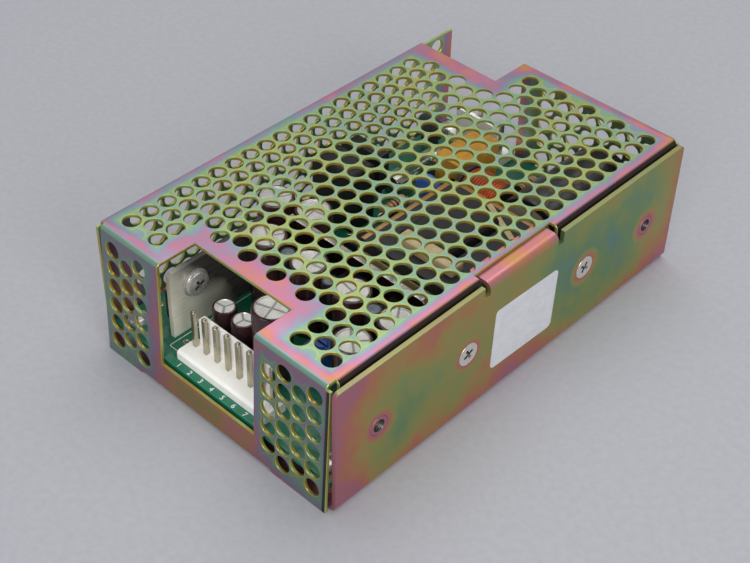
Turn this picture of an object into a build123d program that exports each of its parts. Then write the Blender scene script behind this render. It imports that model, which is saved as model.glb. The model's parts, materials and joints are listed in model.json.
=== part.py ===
from build123d import *
import math
import os

# Open-frame power supply in a two-piece sheet-metal case, sizes in millimetres.
# X runs across the width, Y along the length and Z up. The origin is on the base,
# under the middle of the case. The output connector faces -Y.

# Case
case_width = 81.7
case_length = 129.0
cover_height = 39.1
chassis_height = 38.1
cover_sheet = 0.9
chassis_sheet = 1.27
fit_gap = 0.1

# Chassis wall, tab and relief slots
chassis_bend = 2.2
tab_length = 25.4
tab_centre_y = -0.8
tab_reach = 7.1
tab_corner = 1.0
relief_width = 2.0
relief_depth = 3.3
wall_corner = 1.5
ear_length = 10.0
ear_height = 8.0
ear_spacing = 90.0

# Side mounting nuts, pressed into the chassis wall
side_nut_spacing = 102.0
side_nut_centre_y = 0.4
side_nut_z = 18.8
thread_radius = 1.62
nut_shank_radius = 2.7
nut_flange_radius = 3.6
nut_flange_height = 1.6

# Rating label, bare
label_length = 23.8
label_height = 18.7
label_thickness = 0.15
label_corner = 1.5
label_turn = 1.8
label_y = 1.0
label_z = 18.0

# Cover
cover_bend = 1.2
flange_gap = 0.48
flange_depth = 6.0
flap_splay = 2.7
wall_relief = 0.5
corner_relief = 1.7
tab_notch_margin = 1.3
tab_notch_depth = 2.5
setback_x = -12.8
setback_depth = 13.1
flap_foot_left = -26.0
flap_foot_right = 21.5
flap_foot_step = 0.85

# Connector window in the cover's front edge
window_left = -17.9
window_right = 15.1
window_depth = 11.8
window_sill = 8.2

# Perforation, staggered rows
hole_diameter = 4.7
hole_sides = 4
hole_pitch = 5.52
row_pitch = 4.853
hole_keep_out = 5.0
top_right_margin = 6.16
top_left_margin = 5.0
top_front_margin = 6.65
top_rear_margin = 6.3
flap_row_pitch = 4.88
flap_hole_pitch = 5.7
flap_top_margin = 5.2
flap_foot_margin = 5.2
flap_side_margin = 4.5
flap_window_margin = 7.1
rear_flap_margin = 8.45
wall_top_margin = 4.5
wall_foot_margin = 10.0
wall_rear_margin = 6.5
wall_front_margin = 11.5

# Round pieces are many-sided with the circle's area: fewer sides on thin ones
thin_sides = 8
middle_sides = 12
wide_sides = 20
middle_from = 2.0
wide_from = 4.5

# Circuit board
board_thickness = 1.6
board_front_gap = 0.3
board_rear_gap = 1.5
board_side_gap = 2.3
standoff_height = 5.53
standoff_radius = 3.0
standoff_inset_x = 4.2
standoff_inset_y = 4.2
screw_radius = 1.5
screw_head_radius = 2.8
screw_head_height = 2.0
cover_head_height = 1.6
screw_length = 6.0

# Board connectors
pin_pitch = 3.96
pin_side = 1.14
pin_bevel = 0.3
pin_top = 14.25
pin_tail = 3.2
pin_hole_side = 1.7
header_depth = 6.6
header_thickness = 2.9
header_end = 2.0
friction_wall_height = 12.5
friction_wall_thickness = 1.3
friction_wall_end = 0.8
friction_wall_bevel = 1.0
pin_to_wall = 2.05
notch_half = 1.19
notch_foot = 2.0
header_bevel = 0.7
output_pins_count = 8
output_first_x = -14.6
output_pins_inset = 7.05
input_pins_count = 5
input_first_inset = 11.65
input_pins_inset = 7.5

# Heatsink plates
plate_thickness = 1.5
front_plate_face_x = -22.7
front_plate_inset = 6.9
front_plate_rear = -25.5
front_plate_height = 20.5
front_screw_inset = 7.7
front_screw_height = 14.0
cross_plate_left = -19.0
cross_plate_right = 28.0
cross_plate_face_y = -22.2
cross_plate_height = 21.6
rectifier_xs = (5.25, 19.9)
plate_bevel = 0.8
washer_radius = 3.9
washer_thickness = 0.6
heatsink_head_radius = 3.4
head_bevel = 0.6
screw_end = 0.6

# Power packages
package_width = 10.0
package_height = 15.5
package_body_height = 9.2
package_thickness = 4.5
package_tab = 1.3
package_lift = 3.6
package_hole_drop = 3.0
lead_side = 0.8
lead_pitch = 2.54
small_package_width = 7.8
small_package_height = 11.0
small_package_thickness = 2.7
small_package_hole = 3.7
lead_jog = 2.6
pad_thickness = 0.3
transistor_front_y = -20.0
transistor_rear_y = 24.9
transistor_screw_z = 20.2
flat_head_radius = 3.3
nut_across_flats = 5.5
nut_height = 2.4

# Capacitors
output_cap_radius = 5.0
output_cap_height = 21.2
cap_row_xs = (27.2, 12.6, -2.1, -16.7)
cap_row_inset = 8.4
side_cap_place = (24.8, -43.0)
window_cap_x = 3.5
window_cap_inset = 16.2
primary_cap_places = ((-16.0, -15.4), (-26.8, -18.4))
small_cap_radius = 3.15
small_cap_height = 11.1
small_cap_xs = (-6.5, -13.4)
small_cap_inset = 15.8
bulk_radius = 11.0
bulk_rear_gap = 6.3
bulk_bevel = 1.2
bulk_wall_gap = 6.38
bulk_front = 25.2
film_length = 17.5
film_width = 9.0
film_height = 15.6
film_bevel = 0.7
film_drum_gap = 2.7
film_y = 39.2
disc_radius = 4.6
disc_thickness = 3.2
disc_lift = 2.4
line_disc_place = (-13.0, 26.0)
start_disc_place = (-7.0, 16.8)

# Rod chokes
rod_radius = 2.3
rod_height = 20.2
rod_xs = (19.9, 5.25, -9.4)
rod_row_inset = 8.6

# Transformer
core_left = -0.5
core_right = 28.5
core_front = -14.6
core_rear = 20.4
core_leg = 6.7
core_lift = 3.0
core_height = 17.5
bobbin_rail_depth = 4.4
bobbin_rail_height = 5.0
bobbin_gap = 0.3
tape_thickness = 0.4
tape_width = 10.5
winding_rise = 3.0
winding_bevel = 1.2

# Line choke, a wound drum lying across the board on its base
drum_bulk_gap = 1.0
drum_y = 30.6
drum_radius = 8.0
drum_core_radius = 4.0
drum_length = 14.0
drum_flange = 1.4
drum_base_width = 12.0
drum_base_thickness = 1.2
drum_sink = 0.1
drum_wire_gap = 0.5

# Fuse
fuse_x = -24.0
fuse_y = 33.0
fuse_length = 20.0
fuse_radius = 2.6
fuse_cap_length = 5.5
fuse_lift = 4.0
clip_length = 5.0
clip_wall = 0.5

# Small parts
filter_x = -28.0
filter_y = 7.5
filter_length = 15.0
filter_depth = 9.0
filter_height = 19.0
bridge_inset_x = 9.35
bridge_y = 20.0
bridge_length = 14.0
bridge_depth = 4.0
bridge_height = 12.0
chip_x = -14.0
chip_y = 1.5
chip_length = 9.6
chip_width = 6.4
chip_height = 3.4
chip_leg_height = 2.2
coupler_x = -8.0
coupler_y = 8.8
coupler_length = 4.6
thermistor_inset_x = 8.35
thermistor_inset_y = 16.5
thermistor_radius = 4.6
thermistor_thickness = 4.0
trimmer_x = 12.0
trimmer_y = -40.5
trimmer_side = 6.4
trimmer_height = 9.4
trimmer_knob = 1.6
trimmer_rise = 0.8
trimmer_slot = 0.6
resistor_length = 9.0
resistor_radius = 1.9
resistor_lift = 0.8
resistor_lead = 1.5
resistor_places = ((33.0, 8.0), (-18.4, 17.5), (33.0, -44.0))
rear_resistor_gap = 8.5
rear_resistor_y = 50.0

left_face = -case_width / 2
right_face = case_width / 2
front_face = -case_length / 2
rear_face = case_length / 2
wall_inner_x = right_face - chassis_sheet
cover_inner_left = left_face + cover_sheet
cover_under = cover_height - cover_sheet
cover_right = wall_inner_x - flange_gap
board_bottom = chassis_sheet + standoff_height
board_top = board_bottom + board_thickness
board_front = front_face + board_front_gap
board_rear = rear_face - board_rear_gap
board_left = left_face + board_side_gap
board_right = right_face - board_side_gap
output_pins_y = front_face + output_pins_inset
input_pins_y = rear_face - input_pins_inset
front_plate_front = front_face + front_plate_inset
front_screw_y = front_plate_front + front_screw_inset
bulk_x = wall_inner_x - bulk_wall_gap - bulk_radius
bulk_length = rear_face - bulk_rear_gap - bulk_front
drum_x = bulk_x - bulk_radius - drum_bulk_gap - drum_length / 2
film_x = drum_x - drum_length / 2 - film_drum_gap - film_width / 2
rear_resistor_place = (film_x + film_width / 2 + rear_resistor_gap, rear_resistor_y)
input_first_x = left_face + input_first_inset
bridge_x = left_face + bridge_inset_x
thermistor_place = (left_face + thermistor_inset_x, rear_face - thermistor_inset_y)
small_cap_y = front_face + small_cap_inset
window_cap_y = front_face + window_cap_inset


def block(x0, x1, y0, y1, z0, z1):
    """A box between two corners."""
    centre = Pos((x0 + x1) / 2, (y0 + y1) / 2, (z0 + z1) / 2)
    return centre * Box(x1 - x0, y1 - y0, z1 - z0)


def upright(radius, height, x, y, z):
    """A round post that stands on z."""
    return Pos(x, y, z) * extrude(round_face(radius), height, dir=(0, 0, 1))


def along_x(radius, length, x, y, z):
    """A round bar along X that starts at x."""
    plane = Plane(origin=(x, y, z), x_dir=(0, 1, 0), z_dir=(1, 0, 0))
    return plane.location * extrude(round_face(radius), length, dir=(0, 0, 1))


def along_y(radius, length, x, y, z):
    """A round bar along Y that starts at y."""
    plane = Plane(origin=(x, y, z), x_dir=(-1, 0, 0), z_dir=(0, 1, 0))
    return plane.location * extrude(round_face(radius), length, dir=(0, 0, 1))


def round_corners(radius, sides, x=0, y=0):
    """Corners of an outline with as many sides and the area of the circle."""
    step = 2 * math.pi / sides
    reach = radius * math.sqrt(2 * math.pi / (sides * math.sin(step)))
    turns = [step * (side + 0.5) for side in range(sides)]
    return [(x + reach * math.cos(turn), y + reach * math.sin(turn), 0) for turn in turns]


def round_face(radius):
    """A round piece's section in the XY plane, about the origin."""
    sides = thin_sides
    if radius >= wide_from:
        sides = wide_sides
    elif radius >= middle_from:
        sides = middle_sides
    return Face(Wire.make_polygon(round_corners(radius, sides)))


def ventilated_sheet(outline, centres, thickness, screw_holes=()):
    """A flat sheet in the XY plane with its perforation and its screw holes."""
    holes = []
    for x, y in centres:
        holes.append(Wire.make_polygon(round_corners(hole_diameter / 2, hole_sides, x, y)))
    for x, y in screw_holes:
        holes.append(Wire.make_polygon(round_corners(screw_radius + fit_gap, thin_sides, x, y)))
    edge = Wire.make_polygon([(x, y, 0) for x, y in outline])
    return extrude(Face(edge, holes), thickness, dir=(0, 0, 1))


def bend(radius, sheet, angle, length):
    """A quarter-like bend about the Y axis, from straight up towards -X, along +Y."""
    outer = radius
    inner = radius - sheet
    start = (0, 0, outer)
    end = (-outer * math.sin(angle), 0, outer * math.cos(angle))
    middle = (-outer * math.sin(angle / 2), 0, outer * math.cos(angle / 2))
    inner_start = (0, 0, inner)
    inner_end = (-inner * math.sin(angle), 0, inner * math.cos(angle))
    inner_middle = (-inner * math.sin(angle / 2), 0, inner * math.cos(angle / 2))
    edge = Wire([
        Edge.make_three_point_arc(start, middle, end),
        Edge.make_line(end, inner_end),
        Edge.make_three_point_arc(inner_end, inner_middle, inner_start),
        Edge.make_line(inner_start, start),
    ])
    return extrude(Face(edge), length, dir=(0, 1, 0))


def staggered(first, last, pitch, row):
    """Places along a row, set off by half a pitch in every other row."""
    start = first + (pitch / 2 if row % 2 else 0)
    count = int((last - start) / pitch + 1e-6) + 1
    return [start + pitch * index for index in range(count)]


def steps(first, last, pitch):
    """Places from first down to last, a pitch apart."""
    count = int((first - last) / pitch + 1e-6) + 1
    return [first - pitch * index for index in range(count)]


def top_holes():
    """Hole centres of the top, clear of the window and of the set-back corner."""
    window_edge = front_face + window_depth + hole_keep_out
    setback_edge = rear_face - setback_depth - hole_keep_out
    centres = []
    first_x = cover_right - top_right_margin
    last_x = left_face + top_left_margin
    first_y = front_face + top_front_margin
    last_y = rear_face - top_rear_margin
    for row, x in enumerate(steps(first_x, last_x, row_pitch)):
        beside_window = window_left - hole_keep_out < x < window_right + hole_keep_out
        in_setback = x < setback_x + hole_keep_out
        for y in staggered(first_y, last_y, hole_pitch, row):
            if beside_window and y < window_edge:
                continue
            if in_setback and y > setback_edge:
                continue
            centres.append((x, y))
    return centres


def wall_holes():
    """Hole centres of the left wall as (y, z)."""
    centres = []
    first_y = wall_rear_margin - rear_face
    last_y = -front_face - wall_front_margin
    for row, z in enumerate(steps(cover_height - wall_top_margin, wall_foot_margin, row_pitch)):
        for y in staggered(first_y, last_y, hole_pitch, row):
            centres.append((-y, z))
    return centres


def flap_holes(columns, pitch, shift):
    """Hole centres of a flap as (x, z), in staggered columns from the top down."""
    centres = []
    for column, x in enumerate(columns):
        for z in staggered(flap_top_margin - cover_height, -flap_foot_margin, pitch, column + shift):
            centres.append((x, -z))
    return centres


def front_flap_holes():
    """Hole centres of the front flap, on both sides of the window."""
    left_edge = left_face + flap_side_margin
    right_edge = window_right + flap_side_margin
    left = steps(window_left - flap_window_margin, left_edge, flap_row_pitch)
    right = steps(cover_right - flap_side_margin, right_edge, flap_row_pitch)
    return flap_holes(left, flap_hole_pitch, 0) + flap_holes(right, flap_hole_pitch, 0)


def rear_flap_holes():
    """Hole centres of the rear flap."""
    columns = steps(cover_right - rear_flap_margin, setback_x + flap_side_margin, flap_row_pitch)
    return flap_holes(columns, hole_pitch, 1)


def chassis():
    """The base plate and the solid side wall, one bent sheet with a clip tab."""
    length = case_length
    section = Wire.make_polygon([
        (cover_inner_left, 0, 0),
        (right_face, 0, 0),
        (right_face, 0, chassis_height),
        (wall_inner_x, 0, chassis_height),
        (wall_inner_x, 0, chassis_sheet),
        (cover_inner_left, 0, chassis_sheet),
    ])
    body = Pos(0, front_face, 0) * extrude(Face(section), length, dir=(0, 1, 0))
    lengthwise = body.edges().filter_by(Axis.Y)
    body = fillet(lengthwise.sort_by_distance((right_face, 0, 0))[0], chassis_bend)
    lengthwise = body.edges().filter_by(Axis.Y)
    inside_corner = lengthwise.sort_by_distance((wall_inner_x, 0, chassis_sheet))[0]
    body = fillet(inside_corner, chassis_bend - chassis_sheet)
    corners = body.edges().filter_by(Axis.X).group_by(Axis.Z)[-1]
    body = fillet(corners, wall_corner)

    # the plate stops at the inside of the rear flap
    rear_edge = rear_face - cover_sheet
    body -= block(left_face, cover_right + fit_gap, rear_edge, rear_face, 0, chassis_bend)

    # the clip tab and its relief slots
    tab_front = tab_centre_y - tab_length / 2
    tab_rear = tab_centre_y + tab_length / 2
    tab_edge = right_face - tab_reach
    slot_floor = chassis_height - relief_depth
    body -= block(
        wall_inner_x, right_face, tab_front - relief_width, tab_rear + relief_width,
        slot_floor, chassis_height,
    )
    body += clip_tab(tab_front, tab_edge, slot_floor)

    # ears for the cover's screws
    ear_right = cover_inner_left + chassis_sheet
    for y in (-ear_spacing / 2, ear_spacing / 2):
        ear = block(cover_inner_left, ear_right, y - ear_length / 2, y + ear_length / 2, 0, ear_height)
        top_edges = ear.edges().filter_by(Axis.X).group_by(Axis.Z)[-1]
        body += fillet(top_edges, wall_corner)
        body -= along_x(screw_radius, chassis_sheet, cover_inner_left, y, ear_screw_z())

    for y in side_nut_places():
        body -= along_x(nut_shank_radius, chassis_sheet, wall_inner_x, y, side_nut_z)
    for y in (transistor_front_y, transistor_rear_y):
        body -= flat_head(y, screw_radius + fit_gap, flat_head_radius, chassis_sheet)
    return body


def clip_tab(start_y, edge_x, floor_z):
    """The top of the side wall, bent inward."""
    bend_radius = chassis_bend - 0.2
    section = Wire.make_polygon([
        (wall_inner_x, start_y, floor_z),
        (right_face, start_y, floor_z),
        (right_face, start_y, chassis_height),
        (edge_x, start_y, chassis_height),
        (edge_x, start_y, chassis_height - chassis_sheet),
        (wall_inner_x, start_y, chassis_height - chassis_sheet),
    ])
    tab = extrude(Face(section), tab_length, dir=(0, 1, 0))
    lengthwise = tab.edges().filter_by(Axis.Y)
    tab = fillet(lengthwise.sort_by_distance((right_face, tab_centre_y, chassis_height))[0], bend_radius)
    lengthwise = tab.edges().filter_by(Axis.Y)
    under = (wall_inner_x, tab_centre_y, chassis_height - chassis_sheet)
    tab = fillet(lengthwise.sort_by_distance(under)[0], bend_radius - chassis_sheet)
    return fillet(tab.edges().filter_by(Axis.Z).group_by(Axis.X)[0], tab_corner)


def ear_screw_z():
    """Height of the screws that hold the cover's left wall."""
    return (ear_height + chassis_sheet) / 2


def side_nut_places():
    """Y places of the two mounting nuts in the side wall."""
    return [side_nut_centre_y + side * side_nut_spacing / 2 for side in (-1, 1)]


def standoff_places():
    """Places of the board's standoffs, one near each corner."""
    return [
        (x, y)
        for x in (board_left + standoff_inset_x, board_right - standoff_inset_x)
        for y in (board_front + standoff_inset_y, board_rear - standoff_inset_y)
    ]


def cover():
    """Top, perforated side wall, two end flaps and a side flange, folded from one sheet."""
    flat_left = left_face + cover_bend
    flat_right = cover_right - cover_bend
    flat_front = front_face + cover_bend
    flat_rear = rear_face - cover_bend
    window_back = front_face + window_depth
    setback_y = rear_face - setback_depth
    notch_front = tab_centre_y - tab_length / 2 - tab_notch_margin
    notch_rear = tab_centre_y + tab_length / 2 + tab_notch_margin
    outline = [
        (flat_left, flat_front),
        (window_left, flat_front),
        (window_left, window_back),
        (window_right, window_back),
        (window_right, flat_front),
        (flat_right, flat_front),
        (flat_right, notch_front),
        (cover_right - tab_notch_depth, notch_front),
        (cover_right - tab_notch_depth, notch_rear),
        (flat_right, notch_rear),
        (flat_right, flat_rear),
        (setback_x, flat_rear),
        (setback_x, setback_y),
        (flat_left, setback_y),
    ]
    top = Pos(0, 0, cover_under) * ventilated_sheet(outline, top_holes(), cover_sheet)
    pieces = left_wall(flat_left, setback_y)
    pieces += front_flap(flat_left, flat_right, flat_front)
    pieces += rear_flap(flat_right, flat_rear)
    bend_z = cover_height - cover_bend
    flange_foot = bend_z - flange_depth
    for y0, y1 in ((flat_front + corner_relief, notch_front), (notch_rear, flat_rear)):
        turned = Rot(0, 0, 180) * bend(cover_bend, cover_sheet, math.pi / 2, y1 - y0)
        pieces.append(Pos(flat_right, y1, bend_z) * turned)
        pieces.append(block(cover_right - cover_sheet, cover_right, y0, y1, flange_foot, bend_z))
    return top + pieces


def left_wall(flat_left, setback_y):
    """The perforated wall and its bend. The bend stops where the top is set back."""
    wall_front = front_face + wall_relief
    bend_z = cover_height - cover_bend
    outline = [(wall_front, 0), (rear_face, 0), (rear_face, bend_z), (wall_front, bend_z)]
    screws = [(y, ear_screw_z()) for y in (-ear_spacing / 2, ear_spacing / 2)]
    sheet = ventilated_sheet(outline, wall_holes(), cover_sheet, screws)
    plane = Plane(origin=(left_face, 0, 0), x_dir=(0, 1, 0), z_dir=(1, 0, 0))
    corner_start = front_face + corner_relief
    curve = bend(cover_bend, cover_sheet, math.pi / 2, setback_y - corner_start)
    return [plane.location * sheet, Pos(flat_left, corner_start, bend_z) * curve]


def front_flap(flat_left, flat_right, flat_front):
    """The splayed front flap with the lower part of the window, and its bend."""
    angle = math.pi / 2 - math.radians(flap_splay)
    slope = math.radians(flap_splay)
    bend_z = cover_height - cover_bend
    drop = bend_z + cover_bend * math.sin(slope)
    height = drop / math.cos(slope)
    foot = flap_foot_step / math.cos(slope)
    sill = window_sill / math.cos(slope)
    left = cover_inner_left + fit_gap / 2
    right = cover_right
    outline = [
        (left, 0),
        (flap_foot_left, 0),
        (flap_foot_left + foot, foot),
        (flap_foot_right - foot, foot),
        (flap_foot_right, 0),
        (right, 0),
        (right, height),
        (window_right, height),
        (window_right, sill),
        (window_left, sill),
        (window_left, height),
        (left, height),
    ]
    sheet = ventilated_sheet(outline, front_flap_holes(), cover_sheet)
    foot_y = flat_front - cover_bend * math.cos(slope) - drop * math.tan(slope)
    outward = (0, -math.cos(slope), math.sin(slope))
    plane = Plane(origin=(0, foot_y, 0), x_dir=(1, 0, 0), z_dir=outward)
    pieces = [plane.location * Pos(0, 0, -cover_sheet) * sheet]
    for x0, x1 in ((flat_left, window_left), (window_right, flat_right)):
        curve = Rot(0, 0, 90) * bend(cover_bend, cover_sheet, angle, x1 - x0)
        pieces.append(Pos(x1, flat_front, bend_z) * curve)
    return pieces


def rear_flap(flat_right, flat_rear):
    """The perforated rear flap and its bend, as wide as the full-length part of the top."""
    bend_z = cover_height - cover_bend
    outline = [(setback_x, 0), (cover_right, 0), (cover_right, bend_z), (setback_x, bend_z)]
    sheet = ventilated_sheet(outline, rear_flap_holes(), cover_sheet)
    plane = Plane(origin=(0, rear_face - cover_sheet, 0), x_dir=(1, 0, 0), z_dir=(0, -1, 0))
    curve = Rot(0, 0, -90) * bend(cover_bend, cover_sheet, math.pi / 2, flat_right - setback_x)
    sheet = plane.location * Pos(0, 0, -cover_sheet) * sheet
    return [sheet, Pos(setback_x, flat_rear, bend_z) * curve]


def rating_label():
    """A bare rounded sticker on the side wall, slightly turned."""
    plane = Plane(origin=(right_face, label_y, label_z), x_dir=(0, 1, 0), z_dir=(1, 0, 0))
    sticker = extrude(RectangleRounded(label_length, label_height, label_corner), label_thickness)
    return plane.location * Rot(0, 0, -label_turn) * sticker


def side_mounting_nuts():
    """Two threaded nuts pressed into the side wall from the inside."""
    nuts = []
    for y in side_nut_places():
        nut = along_x(nut_shank_radius, chassis_sheet, wall_inner_x, y, side_nut_z)
        nut += along_x(
            nut_flange_radius, nut_flange_height, wall_inner_x - nut_flange_height, y, side_nut_z
        )
        bore = chassis_sheet + nut_flange_height
        thread = Pos(right_face - bore / 2, y, side_nut_z) * Rot(0, 90, 0) * Cylinder(thread_radius, bore)
        nut -= thread
        nuts.append(nut)
    return Compound(nuts)


def flat_head(y, shank_radius, head_radius, depth):
    """A countersunk head with its shank, head flush with the side wall's outside."""
    wide = Wire.make_polygon(round_corners(head_radius, middle_sides))
    small = Wire.make_polygon(round_corners(head_radius - depth, middle_sides))
    plane = Plane(origin=(right_face, y, transistor_screw_z), x_dir=(0, 1, 0), z_dir=(1, 0, 0))
    head = Solid.make_loft([plane.location * Pos(0, 0, -depth) * small, plane.location * wide], True)
    return head + along_x(shank_radius, depth, right_face - depth, y, transistor_screw_z)


def transistor_screws():
    """Flat-head screws that clamp the power transistors to the side wall."""
    length = chassis_sheet + pad_thickness + small_package_thickness + nut_height + screw_end
    screws = []
    for y in (transistor_front_y, transistor_rear_y):
        screw = flat_head(y, screw_radius, flat_head_radius - fit_gap, chassis_sheet)
        screw += along_x(screw_radius, length, right_face - length, y, transistor_screw_z)
        screws.append(screw)
    return Compound(screws)


def transistor_nuts():
    """Hexagon nuts on the transistor screws."""
    across_corners = nut_across_flats / math.sqrt(3)
    outer = wall_inner_x - pad_thickness - small_package_thickness
    nuts = []
    for y in (transistor_front_y, transistor_rear_y):
        plane = Plane(origin=(outer, y, transistor_screw_z), x_dir=(0, 1, 0), z_dir=(-1, 0, 0))
        nut = plane.location * extrude(RegularPolygon(across_corners, 6), nut_height)
        nuts.append(nut - along_x(screw_radius, nut_height, outer - nut_height, y, transistor_screw_z))
    return Compound(nuts)


def transistor_pads():
    """Insulating pads between the transistors and the wall."""
    pads = []
    half = small_package_width / 2 + 1
    top = transistor_screw_z + small_package_hole + 1
    bottom = top - small_package_height - 2
    for y in (transistor_front_y, transistor_rear_y):
        pad = block(wall_inner_x - pad_thickness, wall_inner_x, y - half, y + half, bottom, top)
        hole = along_x(screw_radius, pad_thickness, wall_inner_x - pad_thickness, y, transistor_screw_z)
        pads.append(pad - hole)
    return Compound(pads)


def power_package(hole_z):
    """A tabbed power package on the YZ plane: tab face at x = 0, body towards -X, hole on Z."""
    top = package_hole_drop
    tab_bottom = top - package_height
    half = package_width / 2
    body_top = tab_bottom + package_body_height
    tab = block(-package_tab, 0, -half, half, body_top, top)
    tab -= along_x(screw_radius, package_tab, -package_tab, 0, 0)
    body = block(-package_thickness, 0, -half, half, tab_bottom, body_top)
    body = chamfer(body.edges().filter_by(Axis.Y).group_by(Axis.X)[0], 0.6)
    package = tab + body
    middle = -package_thickness / 2 - 0.4
    for step in (-1, 0, 1):
        y = step * lead_pitch
        package += block(
            middle - lead_side / 2, middle + lead_side / 2, y - lead_side / 2, y + lead_side / 2,
            board_top - hole_z, tab_bottom,
        )
    return package


def power_transistor(y):
    """A small power transistor on the side wall, its leads bent inward and down to the board."""
    face = wall_inner_x - pad_thickness
    half = small_package_width / 2
    top = transistor_screw_z + small_package_hole
    bottom = top - small_package_height
    body = block(face - small_package_thickness, face, y - half, y + half, bottom, top)
    body = chamfer(body.edges().filter_by(Axis.Y).group_by(Axis.X)[0], 0.5)
    body -= along_x(
        screw_radius, small_package_thickness, face - small_package_thickness, y, transistor_screw_z
    )
    root = face - small_package_thickness / 2
    foot = root - lead_jog
    side = lead_side / 2
    jog_z = (bottom + board_top) / 2
    for step in (-1, 0, 1):
        lead_y = y + step * lead_pitch
        body += block(root - side, root + side, lead_y - side, lead_y + side, jog_z - side, bottom)
        body += block(foot - side, root + side, lead_y - side, lead_y + side, jog_z - side, jog_z + side)
        body += block(foot - side, foot + side, lead_y - side, lead_y + side, board_top, jog_z)
    return body


def front_rectifier():
    """The power package behind the front heatsink plate."""
    z = board_top + front_screw_height
    return Pos(front_plate_face_x - plate_thickness, front_screw_y, z) * power_package(z)


def front_heatsink():
    """A flat plate that stands along Y beside the connector window."""
    left = front_plate_face_x - plate_thickness
    top = board_top + front_plate_height
    plate = block(left, front_plate_face_x, front_plate_front, front_plate_rear, board_top, top)
    plate = chamfer(plate.edges().filter_by(Axis.X).group_by(Axis.Z)[-1], plate_bevel)
    z = board_top + front_screw_height
    return plate - along_x(screw_radius, plate_thickness, left, front_screw_y, z)


def heatsink_washer():
    """The washer under the heatsink screw's head."""
    z = board_top + front_screw_height
    washer = along_x(washer_radius, washer_thickness, front_plate_face_x, front_screw_y, z)
    return washer - along_x(screw_radius, washer_thickness, front_plate_face_x, front_screw_y, z)


def heatsink_screw():
    """The pan-head screw through the plate and the package."""
    z = board_top + front_screw_height
    face = front_plate_face_x + washer_thickness
    reach = washer_thickness + plate_thickness + package_tab + nut_height + screw_end
    head = along_x(heatsink_head_radius, screw_head_height, face, front_screw_y, z)
    head = chamfer(head.edges().group_by(Axis.X)[-1], head_bevel)
    return head + along_x(screw_radius, reach, face - reach, front_screw_y, z)


def heatsink_nut():
    """The nut on the heatsink screw."""
    z = board_top + front_screw_height
    face = front_plate_face_x - plate_thickness - package_tab
    plane = Plane(origin=(face, front_screw_y, z), x_dir=(0, 1, 0), z_dir=(-1, 0, 0))
    nut = plane.location * extrude(RegularPolygon(nut_across_flats / math.sqrt(3), 6), nut_height)
    return nut - along_x(screw_radius, nut_height, face - nut_height, front_screw_y, z)


def cross_heatsink():
    """The plate across the board that carries the output rectifiers."""
    top = board_top + cross_plate_height
    rear = cross_plate_face_y + plate_thickness
    plate = block(cross_plate_left, cross_plate_right, cross_plate_face_y, rear, board_top, top)
    return chamfer(plate.edges().filter_by(Axis.Y).group_by(Axis.Z)[-1], plate_bevel)


def output_rectifier(x):
    """A small power package on the front of the cross plate."""
    bottom = board_top + package_lift
    half = small_package_width / 2
    front = cross_plate_face_y - small_package_thickness
    top = bottom + small_package_height
    body = block(x - half, x + half, front, cross_plate_face_y, bottom, top)
    body = chamfer(body.edges().filter_by(Axis.X).group_by(Axis.Y)[0], 0.5)
    middle = cross_plate_face_y - small_package_thickness / 2
    side = lead_side / 2
    for step in (-1, 0, 1):
        lead = x + step * lead_pitch
        body += block(lead - side, lead + side, middle - side, middle + side, board_top, bottom)
    return body


def circuit_board():
    """The board, with holes for its screws and connector pins."""
    board = block(board_left, board_right, board_front, board_rear, board_bottom, board_top)
    for x, y in standoff_places():
        board -= upright(screw_radius + fit_gap, board_thickness, x, y, board_bottom)
    half = pin_hole_side / 2
    places = [(x, output_pins_y) for x in pin_places(output_first_x, output_pins_count)]
    places += [(x, input_pins_y) for x in pin_places(input_first_x, input_pins_count)[::2]]
    for x, y in places:
        board -= block(x - half, x + half, y - half, y + half, board_bottom, board_top)
    return board


def board_standoffs():
    """Four threaded hexagonal spacers between the base plate and the board."""
    spacers = []
    for x, y in standoff_places():
        spacer = extrude(RegularPolygon(standoff_radius, 6), standoff_height)
        spacer = Pos(x, y, chassis_sheet) * spacer
        spacers.append(spacer - upright(screw_radius, standoff_height, x, y, chassis_sheet))
    return Compound(spacers)


def board_screws():
    """Four pan-head screws that hold the board to its standoffs."""
    screws = []
    for x, y in standoff_places():
        head = upright(screw_head_radius, screw_head_height, x, y, board_top)
        screws.append(head + upright(screw_radius, screw_length, x, y, board_top - screw_length))
    return Compound(screws)


def cover_screws():
    """Two pan-head screws through the cover's wall into the chassis ears."""
    reach = cover_sheet + chassis_sheet + screw_end
    screws = []
    for y in (-ear_spacing / 2, ear_spacing / 2):
        head = along_x(screw_head_radius, cover_head_height, left_face - cover_head_height, y, ear_screw_z())
        head = chamfer(head.edges().group_by(Axis.X)[0], head_bevel)
        screws.append(head + along_x(screw_radius, reach, left_face, y, ear_screw_z()))
    return Compound(screws)


def pin_places(first_x, count):
    """X places of a connector's pins."""
    return [first_x + pin_pitch * index for index in range(count)]


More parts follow.
